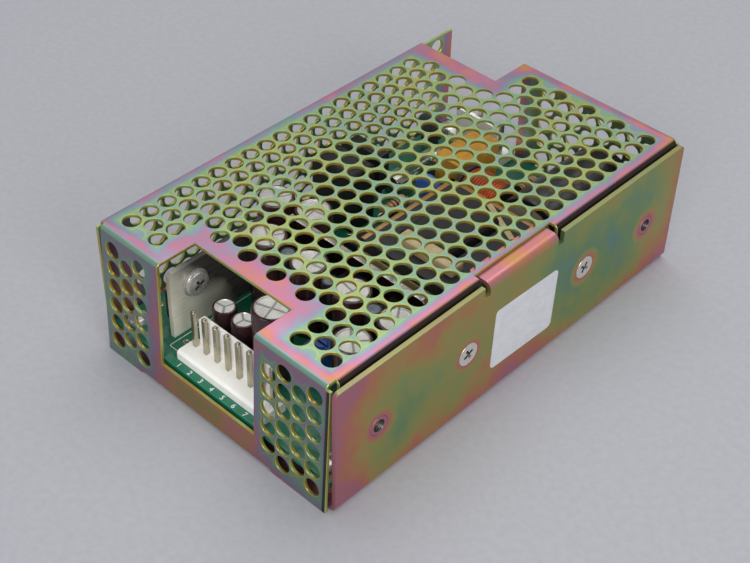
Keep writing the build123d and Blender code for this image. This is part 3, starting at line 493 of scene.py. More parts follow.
@dataclass(frozen=True)
class ChromateWall(Finish):
    """Yellow chromate on the chassis: olive and teal in the middle of the wall, pink round its edge."""

    halos: tuple[Point, ...] = ()
    pools: tuple[Point, ...] = ((-36, 15), (32, 20))
    tab_middle: float = -0.8

    def look(self, tree: Tree) -> Look:
        """Bands by the distance from the two teal pools and from the screws."""
        place = object_place(tree)
        distance = reduce(Val.least, [
            place.effect(EFFECTS.box, (40, y, z), (60, 12, 2))[0] for y, z in self.pools
        ])
        ripple = place.vector("MULTIPLY", (1, 1, 0.75)).noise(0.09)
        swirl = place.noise(0.035, 2.0) * 0.6 + ripple * 0.5
        _, along, up = place.axes()
        thick = distance.span(0, 20, 0.16, 0.50) + swirl.span(0.42, 0.70, -0.22, 0.22)
        thick = thick + along.span(-64, -44, 0.42, 0.0) + along.span(50, 64, 0.0, 0.20)
        thick = (thick + up.span(1.0, 8.0, 0.22, 0.0)).least(0.84)
        for y, z in self.halos:
            spot = place.effect(EFFECTS.box, (40.8, y, z), (1, 0, 0))[0]
            thick = thick.most(spot.span(3.0, 6.6, 0.84, 0.0))
        thick = thick.math("ADD", place.noise(0.4).span(0.3, 0.7, -0.03, 0.03), True)
        tab = place.effect(EFFECTS.box, (36.0, self.tab_middle, 40.0), (5.0, 13.0, 2.4))[0]
        tab = tab.span(0.0, 1.6, 1.0, 0.0)
        bright = swirl.span(0.42, 0.66, 0.74, 0.97).effect(EFFECTS.film)[0]
        colour = tab.mix(thick.effect(EFFECTS.deep_film)[0], bright)
        outside = abs(along - self.tab_middle).math("GREATER_THAN", 13.6)
        colour = (up.span(37.6, 37.95, 0.0, 0.8) * outside).mix(colour, linear("8f9462"))
        height = place.effect(EFFECTS.grain, self.grain)[1]
        return Look(colour, self.gloss(ripple, 0.8, 1.2, 0.3, 0.7), height)


@dataclass(frozen=True)
class BrushedMetal(Finish):
    """Drawn or rolled metal with fine lines along one axis."""

    lines: Triple = (4.0, 0.15, 4.0)

    def look(self, tree: Tree) -> Look:
        """Fine lines in colour, gloss and height."""
        place = object_place(tree)
        mask, height = place.effect(EFFECTS.brush, self.lines)
        cloud = place.noise(0.05, 2.0).span(0.35, 0.65) * 0.25
        return Look(cloud.mix(self.shades(mask), linear(self.second)), self.gloss(mask, 0.8, 1.3), height)


@dataclass(frozen=True)
class ReflectionPaintedPlate(Finish):
    """A bright plate with a painted reflection: painted shade towards its top and rear, where it mirrors the
    dark inside of the case.
    """

    def look(self, tree: Tree) -> Look:
        """Painted reflection: bright at the lower front, painted shade at the upper rear, with fine lines."""
        place = object_place(tree)
        mask, height = place.effect(EFFECTS.brush, (3.0, 0.12, 5.0))
        _, along, up = place.axes()
        # Painted reflection: the slope runs from the bright shade at the lower front to the dark shade at the
        # upper rear.
        slope = along * 0.8 + up * 0.6 + place.noise(0.09, 2.0) * 9.0
        colour = (mask * 0.12).mix(self.shades(slope.span(-31.0, -18.0)), linear("8f8c84"))
        return Look(colour, self.gloss(mask, 0.8, 1.2), height)


@dataclass(frozen=True)
class ScoredDisc(Finish):
    """The bare end of a can, with its vent scored across it."""

    spokes: int = 3

    def look(self, tree: Tree) -> Look:
        """Brushed silver with dark scored spokes from the middle of the disc's own map."""
        place = map_place(tree, "disc")
        lines = []
        for spoke in range(self.spokes):
            angle = math.tau * spoke / self.spokes
            turned = place.node("VectorRotate", {"Vector": place, "Angle": angle}, rotation_type="Z_AXIS")
            out, beside, _ = turned.axes()
            lines.append(abs(beside) + (out * -1.0).most(0.0))
        score = reduce(Val.least, lines).span(0.14, 0.34, 1.0, 0.0)
        mask, height = object_place(tree).effect(EFFECTS.brush, (3, 3, 3))
        colour = (score * 0.6).mix(self.shades(mask), linear("5d5a55"))
        return Look(colour, self.gloss(mask, 0.8, 1.3), height * 0.2 - score, 0.8, 0.12)


@dataclass(frozen=True)
class BoardFinish(Finish):
    """Green solder mask over glass cloth, with its copper runs just showing."""

    def look(self, tree: Tree) -> Look:
        """Weave, runs and a satin coat."""
        place = object_place(tree)
        runs = place.node("TexBrick", {
            "Vector": place, "Color1": (0, 0, 0, 1), "Color2": (0.35, 0.35, 0.35, 1), "Mortar": (1, 1, 1, 1),
            "Scale": 0.16, "Mortar Size": 0.03, "Mortar Smooth": 0.2,
        }, "Color") * 0.55
        weave = place.node("TexWave", {"Vector": place, "Scale": 2.4, "Distortion": 0.6}, 1)
        return Look(self.shades(runs), self.gloss(weave, 0.9, 1.1), weave * 0.2 + runs)


@dataclass(frozen=True)
class Glass(Finish):
    """Clear glass of the fuse tube."""

    def material(self) -> bpy.types.Material:
        """Build the material and let light through."""
        made = super().material()
        shader = made.node_tree.nodes["Principled BSDF"]
        shader.inputs["Transmission Weight"].default_value = 1.0
        shader.inputs["IOR"].default_value = 1.5
        return made

    def look(self, tree: Tree) -> Look:
        """Clear, faintly uneven."""
        uneven = object_place(tree).noise(0.4)
        return Look(self.shades(uneven), uneven.span(0.3, 0.7, 0.02, 0.08), uneven, 0.2)


LEFT_FLAP = {"origin": (-25.0, -68.54), "period": (9.76, 5.7)}
RIGHT_FLAP = {"origin": (34.6, -68.54), "period": (9.76, 5.7)}
PERFORATED = (
    FilmArea(-37.4, 35.3, -44.6, 44.4), FilmArea(-37.4, -23.2, -60.3, -40.0),
    FilmArea(21.0, 35.3, -60.3, -40.0), FilmArea(-7.6, 35.3, 40.0, 60.6),
    FilmArea(-37.2, -22.6, -99.4, -66.3, **LEFT_FLAP),
    FilmArea(17.5, 37.0, -99.4, -66.3, **RIGHT_FLAP), FilmArea(-70.7, -41.6, -53.0, 60.4, (-44.13, 58.0)),
    FilmArea(-9.4, 33.1, 65.6, 99.4, (30.65, 71.24)),
)
HALOS = ((-50.6, 18.8), (51.4, 18.8), (-20.0, 20.2), (24.9, 20.2))
COVER_FILM = ChromateSheet("cover chromate", "a8b078", "b87f8f", 0.36, 0.66, 5.0, 0.01, areas=PERFORATED)
COVER_EDGE = ChromateEdge("cover cut edge", "ae9a48", "9fb06a", 0.34, 0.65, depth=0.01)
CHASSIS_FILM = ChromateWall("chassis chromate", "7f8354", "a86f74", 0.38, 0.72, 5.0, 0.012, halos=HALOS)
STEEL = BrushedMetal("screw steel", "dedcd6", "cccac4", 0.26, 0.7, depth=0.002, lines=(2.0, 2.0, 0.6))
PLATE = BrushedMetal("heatsink plate", "cfcdc6", "b4b1a8", 0.2, 1.0, depth=0.008, lines=(3.0, 0.12, 5.0))
# Dark steel that paints shade into the nuts' threaded bores and the screws' cross recesses.
PAINTED_SHADE_STEEL = BrushedMetal("thread steel", "6a6761", "3c3a36", 0.35, 0.8, depth=0.004)
NICKEL = BrushedMetal("fuse cap", "c6c4bd", "9d9b94", 0.22, 0.95, depth=0.004)
TIN = BrushedMetal("tinned pin", "cdc7b4", "a59d84", 0.26, 0.9, depth=0.004, lines=(5.0, 5.0, 0.3))
# The front plate's two shades are a painted reflection: bright cream at the lower front, dark painted shade at
# the upper rear.
FRONT_PLATE = ReflectionPaintedPlate("front plate", "fdf9e6", "35332f", 0.3, 0.15, depth=0.006)
SILVER = ScoredDisc("can end", "e6e5e1", "cfcdc9", 0.3, 0.45)
CROSSED = ScoredDisc("wide can end", "e6e5e1", "cfcdc9", 0.3, 0.45, spokes=4)
BOARD = BoardFinish("solder mask", "0d664a", "188060", 0.42, 0.0, depth=0.02, coat=0.2)
GLASS = Glass("fuse glass", "f4f7f6", "e6ecea")
KHAKI = Finish("khaki tape", "c2ad74", "ae985e", 0.4, 0.0, 1.0, 0.02, 0.15)
CREPE = Finish("crepe tape", "d8c49a", "c8b287", 0.6, 0.0, 2.0, 0.03)
WHITE = Finish("header nylon", "fffefa", "fbfaf3", 0.42, 0.0, 3.0, 0.01)
INK = Finish("board ink", "eef1ea", "d9ddd6", 0.6, 0.0, 4.0, 0.005)
MAROON = Finish("maroon sleeve", "341c20", "42262a", 0.24, 0.0, 1.2, 0.01, 0.3)
BLACK_SLEEVE = Finish("black sleeve", "151415", "201f20", 0.34, 0.0, 1.2, 0.01, 0.1)
MOULDED = Finish("moulded package", "171718", "202021", 0.55, 0.0, 8.0, 0.02)
FERRITE = Finish("ferrite", "252628", "303134", 0.6, 0.0, 5.0, 0.03)
FERRITE_END = Finish("ground ferrite end", "7f8794", "666d79", 0.4, 0.3, 5.0, 0.02)
WINDING_TAPE = Finish("winding tape", "141415", "1c1c1d", 0.55, 0.0, 0.8, 0.02)
AMBER = Finish("amber tape", "b98a45", "a67734", 0.32, 0.0, 1.0, 0.02, 0.3)
BOBBIN = Finish("bobbin", "c3ae82", "b29d70", 0.55, 0.0, 3.0, 0.02)
COPPER = Finish("enamelled wire", "cf5a20", "9a3b10", 0.3, 0.5, 1.0, 0.01, 0.4)
YELLOW = Finish("film box", "e0a42c", "cf9220", 0.4, 0.0, 2.0, 0.02, 0.2)
BLUE = Finish("disc coating", "5683e2", "4672d0", 0.35, 0.0, 1.5, 0.04, 0.3)
THERMISTOR = Finish("thermistor coating", "2c2f33", "3a3d42", 0.45, 0.0, 1.5, 0.05, 0.2)
PAD = Finish("insulating pad", "8d9092", "7b7e80", 0.7, 0.0, 5.0, 0.02)
TAN = Finish("resistor body", "c3a678", "b3956a", 0.4, 0.0, 2.0, 0.02, 0.3)
BANDS = (
    Finish("band brown", "5a3420", "4a2a1a"), Finish("band black", "1c1a19", "262322"),
    Finish("band red", "a32c22", "8f241c"), Finish("band gold", "a98a3c", "937632", 0.35, 0.5),
)
TRIM_BLUE = Finish("trimmer body", "2a57a5", "224a90", 0.4, 0.0, 3.0, 0.02)
LABEL = Finish("bare label", "dcdde1", "d2d4d9", 0.3, 0.25, 2.0, 0.006, 0.2)
FLOOR = FloorPaint("floor", "a5a6ac", "a1a2a8", grain=3.0)


class Shelf:
    """Keeps each finish's material, so that it is built once."""

    def __init__(self) -> None:
        """Start with nothing on the shelf."""
        self.made: dict[str, bpy.types.Material] = {}

    def get(self, finish: Finish) -> bpy.types.Material:
        """The finish's material."""
        if finish.name not in self.made:
            self.made[finish.name] = finish.material()
        return self.made[finish.name]


SHELF = Shelf()


# Work on meshes

def pick(piece: Object) -> None:
    """Select one object alone and make it active."""
    bpy.ops.object.select_all(action="DESELECT")
    piece.select_set(True)
    bpy.context.view_layer.objects.active = piece


def named(name: str) -> Object:
    """Name the active object and its mesh, and apply its place."""
    piece = bpy.context.active_object
    bpy.ops.object.transform_apply(location=True, rotation=True, scale=True)
    piece.name = name
    piece.data.name = name
    return piece


def link(name: str, data: bpy.types.ID) -> Object:
    """Put data into the scene as an object."""
    made = bpy.data.objects.new(name, data)
    bpy.context.scene.collection.objects.link(made)
    return made


def meshed(name: str, curve: bpy.types.Curve) -> Object:
    """Turn a curve or a text into a mesh object."""
    pick(link(name, curve))
    bpy.ops.object.convert(target="MESH")
    return bpy.context.active_object


def lines(name: str, paths: Sequence[Sequence[Triple]], closed: bool, **settings: object) -> Object:
    """Turn straight-lined paths into a mesh.

    Args:
        name: the piece's name.
        paths: the points of each path, in millimetres.
        closed: whether the paths run round.
        settings: the curve's own properties.

    Returns:
        The mesh object.
    """
    curve = bpy.data.curves.new(name, "CURVE")
    for key, value in settings.items():
        setattr(curve, key, value)
    for path in paths:
        spline = curve.splines.new("POLY")
        spline.points.add(len(path) - 1)
        for point, (x, y, z) in zip(spline.points, path):
            point.co = (x * MM, y * MM, z * MM, 1)
        spline.use_cyclic_u = closed
    return meshed(name, curve)


def box(name: str, low: Sequence[float], high: Sequence[float]) -> Object:
    """A block between two corners, in millimetres."""
    bpy.ops.object.select_all(action="DESELECT")
    centre = [(a + b) / 2 * MM for a, b in zip(low, high)]
    bpy.ops.mesh.primitive_cube_add(size=1, location=centre)
    bpy.context.active_object.scale = [(b - a) * MM for a, b in zip(low, high)]
    return named(name)


def modify(piece: Object, kind: str, **settings: object) -> Object:
    """Give a piece a modifier and apply it."""
    pick(piece)
    made = piece.modifiers.new(kind.lower(), kind)
    for key, value in settings.items():
        setattr(made, key, value)
    bpy.ops.object.modifier_apply(modifier=made.name)
    return piece


def combine(piece: Object, other: Object, operation: str) -> Object:
    """Cut another piece out of a piece, or unite them, and remove the other."""
    modify(piece, "BOOLEAN", object=other, operation=operation, solver="EXACT")
    bpy.data.objects.remove(other)
    return piece


def soften(piece: Object, width: float, segments: int) -> Object:
    """Round a piece's sharp edges with a bevel, and shade it."""
    modify(
        piece, "BEVEL", width=width * MM, segments=segments, limit_method="ANGLE",
        angle_limit=math.radians(35), use_clamp_overlap=True,
    )
    return shade(piece, SMOOTH_ANGLE)


def shade(piece: Object, angle: float) -> Object:
    """Shade smooth, with edges sharper than the angle kept."""
    pick(piece)
    bpy.ops.object.shade_smooth_by_angle(angle=math.radians(angle))
    return piece


def edit(piece: Object, *steps: Callable[[], object]) -> None:
    """Take steps in edit mode, each with everything selected."""
    pick(piece)
    bpy.ops.object.mode_set(mode="EDIT")
    for step in steps:
        bpy.ops.mesh.select_all(action="SELECT")
        step()
    bpy.ops.object.mode_set(mode="OBJECT")


def outwards() -> None:
    """Turn every selected face outwards."""
    bpy.ops.mesh.normals_make_consistent(inside=False)


def drop_closing_edge(piece: Object, last: int) -> None:
    """Take the edge between the first and last point of a ring away, in edit mode."""
    bpy.ops.mesh.select_mode(type="EDGE")
    bpy.ops.mesh.select_all(action="DESELECT")
    work = bmesh.from_edit_mesh(piece.data)
    for edge in work.edges:
        edge.select = {vertex.index for vertex in edge.verts} == {0, last}
    bmesh.update_edit_mesh(piece.data)
    bpy.ops.mesh.delete(type="EDGE")
    bpy.ops.mesh.select_mode(type="VERT")


def lathe(name: str, profile: Sequence[Point], steps: int = 32) -> Object:
    """Spin a profile of (radius, height) points about the Z axis.

    Args:
        name: the piece's name.
        profile: millimetre points from the axis or rim round to the end.
        steps: sides of the turned piece.

    Returns:
        The turned piece, standing on the origin.
    """
    bpy.ops.object.select_all(action="DESELECT")
    bpy.ops.mesh.primitive_circle_add(vertices=len(profile), radius=MM)
    piece = bpy.context.active_object
    for vertex, (radius, height) in zip(piece.data.vertices, profile):
        vertex.co = (radius * MM, 0, height * MM)
    opened = []
    if not (profile[0][0] > 0 and profile[-1][0] > 0):
        opened.append(lambda: drop_closing_edge(piece, len(profile) - 1))
    edit(
        piece, *opened,
        lambda: bpy.ops.mesh.spin(steps=steps, angle=math.tau, center=(0, 0, 0), axis=(0, 0, 1)),
        lambda: bpy.ops.mesh.remove_doubles(threshold=1e-6), outwards,
    )
    return shade(named(name), 40)


def turn(axis: Axis, degrees: float) -> Matrix:
    """A turn about an axis of the row frame."""
    return Matrix.Rotation(math.radians(degrees), 4, axis.name)


def put(piece: Object, at: Sequence[float], turned: Matrix = Matrix.Identity(4)) -> Object:
    """Turn a piece about the origin and move its mesh to a place in millimetres."""
    piece.data.transform(Matrix.Translation(Vector(at) * MM) @ turned)
    piece.data.update()
    return piece


def twin(piece: Object, name: str) -> Object:
    """A copy with its own mesh."""
    made = piece.copy()
    made.data = piece.data.copy()
    made.name = name
    made.data.name = name
    bpy.context.scene.collection.objects.link(made)
    return made


def join(name: str, pieces: Sequence[Object]) -> Object:
    """Join pieces into one, keeping their materials."""
    bpy.ops.object.select_all(action="DESELECT")
    for piece in pieces:
        piece.select_set(True)
    bpy.context.view_layer.objects.active = pieces[0]
    bpy.ops.object.join()
    pieces[0].name = name
    pieces[0].data.name = name
    return pieces[0]


def coat(piece: Object, *finishes: Finish) -> Object:
    """Give a piece its materials in order."""
    piece.data.materials.clear()
    for finish in finishes:
        piece.data.materials.append(SHELF.get(finish))
    return piece


def paint(piece: Object, number: int, chosen: Callable[[Face], bool]) -> None:
    """Give the chosen faces the numbered material."""
    for face in piece.data.polygons:
        if chosen(face):
            face.material_index = number


def out(face: Face) -> float:
    """How far a face's middle is from the Z axis, in millimetres."""
    return math.hypot(face.center.x, face.center.y) / MM


def chart(piece: Object, name: str) -> None:
    """Keep a piece's own places as a map."""
    layer = piece.data.uv_layers.new(name=name)
    for loop in piece.data.loops:
        place = piece.data.vertices[loop.vertex_index].co
        layer.data[loop.index].uv = (place.x * SHEET_MAP_SCALE, place.y * SHEET_MAP_SCALE)


def hand_in(piece: Object, slot: Slot, *nodes: str) -> Object:
    """Put a finished piece on the body, in place of its CAD nodes."""
    if nodes:
        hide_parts(*nodes)
    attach(piece, "root")
    return piece


def copies(model: Object, name: str, places: Sequence[Triple], turns: Sequence[Matrix] = ()) -> Object:
    """Join copies of a model, each at its place, and remove the model."""
    turned = turns or [Matrix.Identity(4)] * len(places)
    made = [put(twin(model, f"copy_{at}"), place, turned[at]) for at, place in enumerate(places)]
    bpy.data.objects.remove(model)
    return join(name, made)


def stand(model: Object, slot: Slot, nodes: Sequence[str], spins: Sequence[float] = ()) -> list[Object]:
    """Copy a model onto the foot of each of its nodes, and remove the model."""
    made = []
    for node, spin in zip(nodes, spins or [0] * len(nodes)):
        piece = put(twin(model, node + "_piece"), foot(node), turn(Axis.Z, spin))
        made.append(hand_in(piece, slot, node))
    bpy.data.objects.remove(model)
    return made


def numbered(kind: str, count: int) -> list[str]:
    """The names of a kind's nodes."""
    return [f"{kind}_{number}" for number in range(1, count + 1)]


def corners(node: str) -> tuple[Vector, Vector]:
    """The corners of a CAD node's box, in millimetres."""
    low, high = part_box(node)
    return low / MM, high / MM


def middle(node: str) -> Vector:
    """The middle of a CAD node's box, in millimetres."""
    low, high = corners(node)
    return (low + high) / 2


def foot(node: str) -> Vector:
    """The middle of a CAD node's lowest plane, in millimetres."""
    centre = middle(node)
    return Vector((centre.x, centre.y, corners(node)[0].z))


# The cover

@dataclass
class Cover:
    """The perforated cover, cut as a flat blank and folded."""

    left_face: float = -40.85
    front_face: float = -64.5
    rear_face: float = 64.5
    right: float = 39.1
    height: float = 39.1
    sheet: float = 0.9
    radius: float = 1.2
    window: tuple[float, float, float, float] = (-17.9, 15.1, -52.7, 8.2)
    setback: Point = (-12.8, 51.4)
    notch: Triple = (36.6, -14.8, 13.2)
    flange: float = 6.0
    splay: float = 2.7
    hole: float = 4.7
    pitch: float = 5.52
    row: float = 4.853
    column: float = 4.88
    margin: float = 4.5
    clearance: float = 5.0
    screw_places: Point = (-45.0, 45.0)
    screw_height: float = 4.635
    sides: int = 22
    rim: float = 0.13
    turns: int = 6

    def __post_init__(self) -> None:
        """Work out the places of the folds on the blank."""
        self.flat = (
            self.left_face + self.radius, self.right - self.radius,
            self.front_face + self.radius, self.rear_face - self.radius,
        )
        self.neutral = self.radius - self.sheet / 2
        self.arc = self.neutral * math.pi / 2
        self.slope = math.radians(self.splay)
        self.front_arc = self.neutral * (math.pi / 2 - self.slope)
        self.drop = self.height - self.radius
        self.front_drop = (self.drop + self.radius * math.sin(self.slope)) / math.cos(self.slope)
        self.wall_u = self.flat[0] - self.arc
        self.front_v = self.flat[2] - self.front_arc
        self.rear_v = self.flat[3] + self.arc

    def staggered(self, first: float, last: float, pitch: float, row: int) -> list[float]:
        """Places along a row, set off by half a pitch in every other row."""
        start = first + (pitch / 2 if row % 2 else 0)
        return [start + pitch * at for at in range(int((last - start) / pitch + 1e-6) + 1)]

    def steps(self, first: float, last: float, pitch: float) -> list[float]:
        """Places from the first down to the last."""
        return [first - pitch * at for at in range(int((first - last) / pitch + 1e-6) + 1)]

    def top_holes(self) -> list[Point]:
        """Hole centres of the top on the blank."""
        left, right, back, _ = self.window
        edge_x, edge_y = self.setback
        centres = []
        for row, x in enumerate(self.steps(self.right - 6.16, self.left_face + 5.0, self.row)):
            beside = left - self.clearance < x < right + self.clearance
            for y in self.staggered(self.front_face + 6.65, self.rear_face - 6.3, self.pitch, row):
                if beside and y < back + self.clearance:
                    continue
                if x < edge_x + self.clearance and y > edge_y - self.clearance:
                    continue
                centres.append((x, y))
        return centres

    def flap_holes(self, first: float, last: float, pitch: float, shift: int) -> list[Point]:
        """Hole centres of a flap as (x, distance above its foot)."""
        centres = []
        for column, x in enumerate(self.steps(first, last, self.column)):
            centres += [(x, -z) for z in self.staggered(5.2 - self.height, -5.2, pitch, column + shift)]
        return centres

    def holes(self) -> list[Point]:
        """Every round hole's centre on the blank."""
        left, right = self.window[:2]
        front = self.flap_holes(left - 7.1, self.left_face + self.margin, 5.7, 0)
        front += self.flap_holes(self.right - self.margin, right + self.margin, 5.7, 0)
        rear = self.flap_holes(self.right - 8.45, self.setback[0] + self.margin, self.pitch, 1)
        centres = self.top_holes()
        centres += [(x, self.front_v - (self.front_drop - z)) for x, z in front]
        centres += [(x, self.rear_v + (self.drop - z)) for x, z in rear]
        for row, z in enumerate(self.steps(self.height - self.margin, 10.0, self.row)):
            for y in self.staggered(6.5 - self.rear_face, -self.front_face - 11.5, self.pitch, row):
                centres.append((self.wall_u - (self.drop - z), -y))
        return centres

    def outline(self) -> list[Point]:
        """The blank's edge, anticlockwise."""
        left, right, front, rear = self.flat
        base = self.front_v - self.front_drop
        wall = self.wall_u - self.drop
        edge = right + self.arc + self.flange
        notch_x, notch_front, notch_rear = self.notch
        setback_x, setback_y = self.setback
        return [
            (-39.0, base), (-26.0, base), (-25.15, base + 0.85), (20.65, base + 0.85), (21.5, base),
            (self.right, base), (self.right, self.front_v), (right, self.front_v), (right, -61.6),
            (edge, -61.6), (edge, notch_front), (notch_x, notch_front), (notch_x, notch_rear),
            (edge, notch_rear), (edge, rear), (right, rear), (right, self.rear_v),
            (self.right, self.rear_v), (self.right, self.rear_v + self.drop),
            (setback_x, self.rear_v + self.drop), (setback_x, setback_y), (left, setback_y),
            (self.wall_u, setback_y), (self.wall_u, self.rear_face), (wall, self.rear_face),
            (wall, -64.4), (self.wall_u, -64.4), (self.wall_u, -62.9), (left, -62.9), (-39.0, -63.2),
        ]

    def blank(self) -> Object:
        """Cut the flat blank with its window, perforation and screw holes."""
        left, right, back, sill = self.window
        sill_v = self.front_v - self.front_drop + sill / math.cos(self.slope)
        loops = [self.outline(), [(left, sill_v), (left, back), (right, back), (right, sill_v)]]
        loops += [self.ring(x, y, self.hole / 2, self.sides) for x, y in self.holes()]
        screw_u = self.wall_u - (self.drop - self.screw_height)
        loops += [self.ring(screw_u, y, 1.6, 16) for y in self.screw_places]
        return lines(
            "cover", [[(x, y, 0) for x, y in loop] for loop in loops], True,
            dimensions="2D", fill_mode="BOTH", extrude=(self.sheet / 2 - self.rim) * MM,
            bevel_depth=self.rim * MM, bevel_resolution=0, offset=-self.rim * MM,
        )

    @staticmethod
    def ring(x: float, y: float, radius: float, sides: int) -> list[Point]:
        """A clockwise ring of points."""
        turns = [-math.tau * (side + 0.5) / sides for side in range(sides)]
        return [(x + radius * math.cos(turn), y + radius * math.sin(turn)) for turn in turns]

    def score(self, piece: Object) -> None:
        """Divide the blank along its fold lines."""
        left, right, front, rear = self.flat
        cuts = []
        for step in range(self.turns + 1):
            part = step / self.turns
            arc, front_arc = self.arc * part, self.front_arc * part
            cuts += [
                ((left - arc, 0), (1, 0)), ((right + arc, 0), (1, 0)),
                ((0, front - front_arc), (0, 1)), ((0, rear + arc), (0, 1)),
            ]
        edit(
            piece, lambda: bpy.ops.mesh.remove_doubles(threshold=1e-6),
            *[lambda place=place, normal=normal: self.cut(place, normal) for place, normal in cuts],
            outwards,
        )

    @staticmethod
    def cut(place: Point, normal: Point) -> None:
        """Divide the selected faces along a line."""
        x, y = place
        bpy.ops.mesh.bisect(plane_co=(x * MM, y * MM, 0), plane_no=(*normal, 0), threshold=1e-7)

    def fold_one(self, along: float, above: float, arc: float, angle: float) -> Point:
        """Where a point goes that lies beyond a fold.

        Args:
            along: distance past the fold's start on the blank.
            above: height over the sheet's middle.
            arc: length of the fold on the blank.
            angle: the fold's angle.

        Returns:
            Distance past the fold's start, and height over the sheet's middle at the top.
        """
        turned = angle * min(along / arc, 1.0)
        reach = self.neutral + above
        rest = max(along - arc, 0.0)
        ahead = reach * math.sin(turned) + rest * math.cos(turned)
        return ahead, reach * math.cos(turned) - self.neutral - rest * math.sin(turned)

    def fold(self, piece: Object) -> None:
        """Fold the wall, the flange and the two flaps down."""
        left, right, front, rear = (value * MM for value in self.flat)
        level = self.height - self.sheet / 2
        quarter = math.pi / 2
        for vertex in piece.data.vertices:
            x, y, above = vertex.co.x, vertex.co.y, vertex.co.z / MM
            up = above
            if x < left - 1e-8 and front <= y + 2e-3:
                ahead, up = self.fold_one((left - x) / MM, above, self.arc, quarter)
                vertex.co.x = left - ahead * MM
            elif y < front - 1e-8:
                ahead, up = self.fold_one((front - y) / MM, above, self.front_arc, quarter - self.slope)
                vertex.co.y = front - ahead * MM
            elif y > rear + 1e-8:
                ahead, up = self.fold_one((y - rear) / MM, above, self.arc, quarter)
                vertex.co.y = rear + ahead * MM
            elif x > right + 1e-8:
                ahead, up = self.fold_one((x - right) / MM, above, self.arc, quarter)
                vertex.co.x = right + ahead * MM
            vertex.co.z = (level + up) * MM
        piece.data.update()

    def build(self) -> Object:
        """Cut, score, chart, fold and dress the cover."""
        piece = self.blank()
        self.score(piece)
        chart(piece, "blank")
        coat(piece, COVER_FILM, COVER_EDGE)
        paint(piece, 1, lambda face: abs(face.normal.z) < 0.9)
        self.fold(piece)
        piece.name = piece.data.name = "cover_shell"
        return hand_in(shade(piece, 30), Slot.COVER, "cover")


# Sheet metal, boxes and other pieces that keep their CAD form

@dataclass(frozen=True)
class Dressed:
    """CAD nodes whose copies get soft edges and a finish."""

    slot: Slot
    finish: Finish
    edge: float
    segments: int
    nodes: str

    def build(self) -> list[Object]:
        """Copy, soften and dress the nodes."""
        return [self.dress(node) for node in self.nodes.split()]

    def dress(self, node: str) -> Object:
        """Dress one node's copy."""
        piece = self.merged(node)
        soften(piece, self.edge, self.segments)
        modify(piece, "WEIGHTED_NORMAL", keep_sharp=True)
        coat(piece, self.finish)
        return hand_in(piece, self.slot, node)

    @staticmethod
    def merged(node: str) -> Object:
        """A merged copy of a CAD node's mesh, to be finished."""
        piece = twin(frame["nodes"][node], node + "_piece")
        piece.parent = None
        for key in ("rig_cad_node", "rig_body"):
            if key in piece:
                del piece[key]
        piece.hide_render = False
        piece.data.materials.clear()
        while piece.data.uv_layers:
            piece.data.uv_layers.remove(piece.data.uv_layers[0])
        if piece.data.has_custom_normals:
            pick(piece)
            bpy.ops.mesh.customdata_custom_splitnormals_clear()
        edit(
            piece, lambda: bpy.ops.mesh.remove_doubles(threshold=2e-6),
            lambda: bpy.ops.mesh.dissolve_limited(angle_limit=math.radians(0.6)), outwards,
        )
        return piece


@dataclass
class Boxes:
    """Every piece that keeps its CAD form."""

    rows: tuple[Dressed, ...] = (
        Dressed(Slot.CHASSIS, CHASSIS_FILM, 0.14, 2, "chassis"),
        Dressed(Slot.HEADER, WHITE, 0.16, 2, "output_header input_header"),
        Dressed(Slot.PIN, TIN, 0.1, 1, "output_pins input_pins"),
        Dressed(Slot.PLATE, FRONT_PLATE, 0.12, 2, "front_heatsink"),
        Dressed(Slot.PLATE, PLATE, 0.12, 2, "cross_heatsink"),
        Dressed(Slot.PACKAGE, MOULDED, 0.12, 1, "front_rectifier"),
        Dressed(Slot.SCREW, STEEL, 0.2, 1, "heatsink_nut transistor_nuts"),
        Dressed(Slot.PAD, PAD, 0.08, 1, "transistor_pads"),
        Dressed(
            Slot.PACKAGE, MOULDED, 0.12, 1,
            "power_transistor_1 power_transistor_2 output_rectifier_1 output_rectifier_2",
        ),
        Dressed(Slot.PACKAGE, MOULDED, 0.25, 2, "bridge_rectifier"),
        Dressed(Slot.PACKAGE, MOULDED, 0.12, 1, "control_chip optocoupler"),
        Dressed(Slot.PACKAGE, MOULDED, 0.35, 2, "filter_choke"),
        Dressed(Slot.FILM, YELLOW, 0.6, 3, "film_capacitor"),
        Dressed(Slot.FERRITE, FERRITE, 0.35, 2, "transformer_core"),
        Dressed(Slot.BOBBIN, BOBBIN, 0.25, 2, "transformer_bobbin"),
        Dressed(Slot.WINDING, WINDING_TAPE, 0.5, 3, "transformer_winding"),
        Dressed(Slot.TAPE, KHAKI, 0.08, 1, "transformer_tape"),
        Dressed(Slot.PIN, NICKEL, 0.08, 1, "fuse_clips"),
        Dressed(Slot.TRIMMER, TRIM_BLUE, 0.18, 2, "trimmer"),
        Dressed(Slot.SCREW, STEEL, 0.15, 1, "board_standoffs"),
    )

    def build(self) -> list[Object]:
        """Build them in order."""
        return [piece for row in self.rows for piece in row.build()]


# Capacitors and other round parts

@dataclass(frozen=True)
class Can:
    """A sleeved electrolytic can on its foot, its scored end up."""

    radius: float
    height: float
    finish: Finish
    shoulder: float = 0.7
    steps: int = 36
    end: Finish = CROSSED

    def build(self, name: str) -> Object:
        """Turn the can, with its crimp, shoulder and sunken end."""
        r, h, s = self.radius, self.height, self.shoulder
        inner = r * 0.8
        crimp = min(2.6, h * 0.14)
        piece = lathe(name, [
            (0, 0.25), (r * 0.86, 0.25), (r * 0.9, 0), (r * 0.96, 0), (r, 0.35), (r, crimp - 0.55),
            (r * 0.955, crimp), (r, crimp + 0.55), (r, h - s), (r - s * 0.3, h - s * 0.28),
            (r - s, h), (inner + 0.18, h), (inner, h - 0.12), (inner - 0.12, h - 0.34), (0, h - 0.34),
        ], self.steps)
        coat(piece, self.finish, self.end)
        paint(piece, 1, lambda face: face.center.z / MM > h - 0.4 and out(face) < r * 0.815)
        chart(piece, "disc")
        return piece


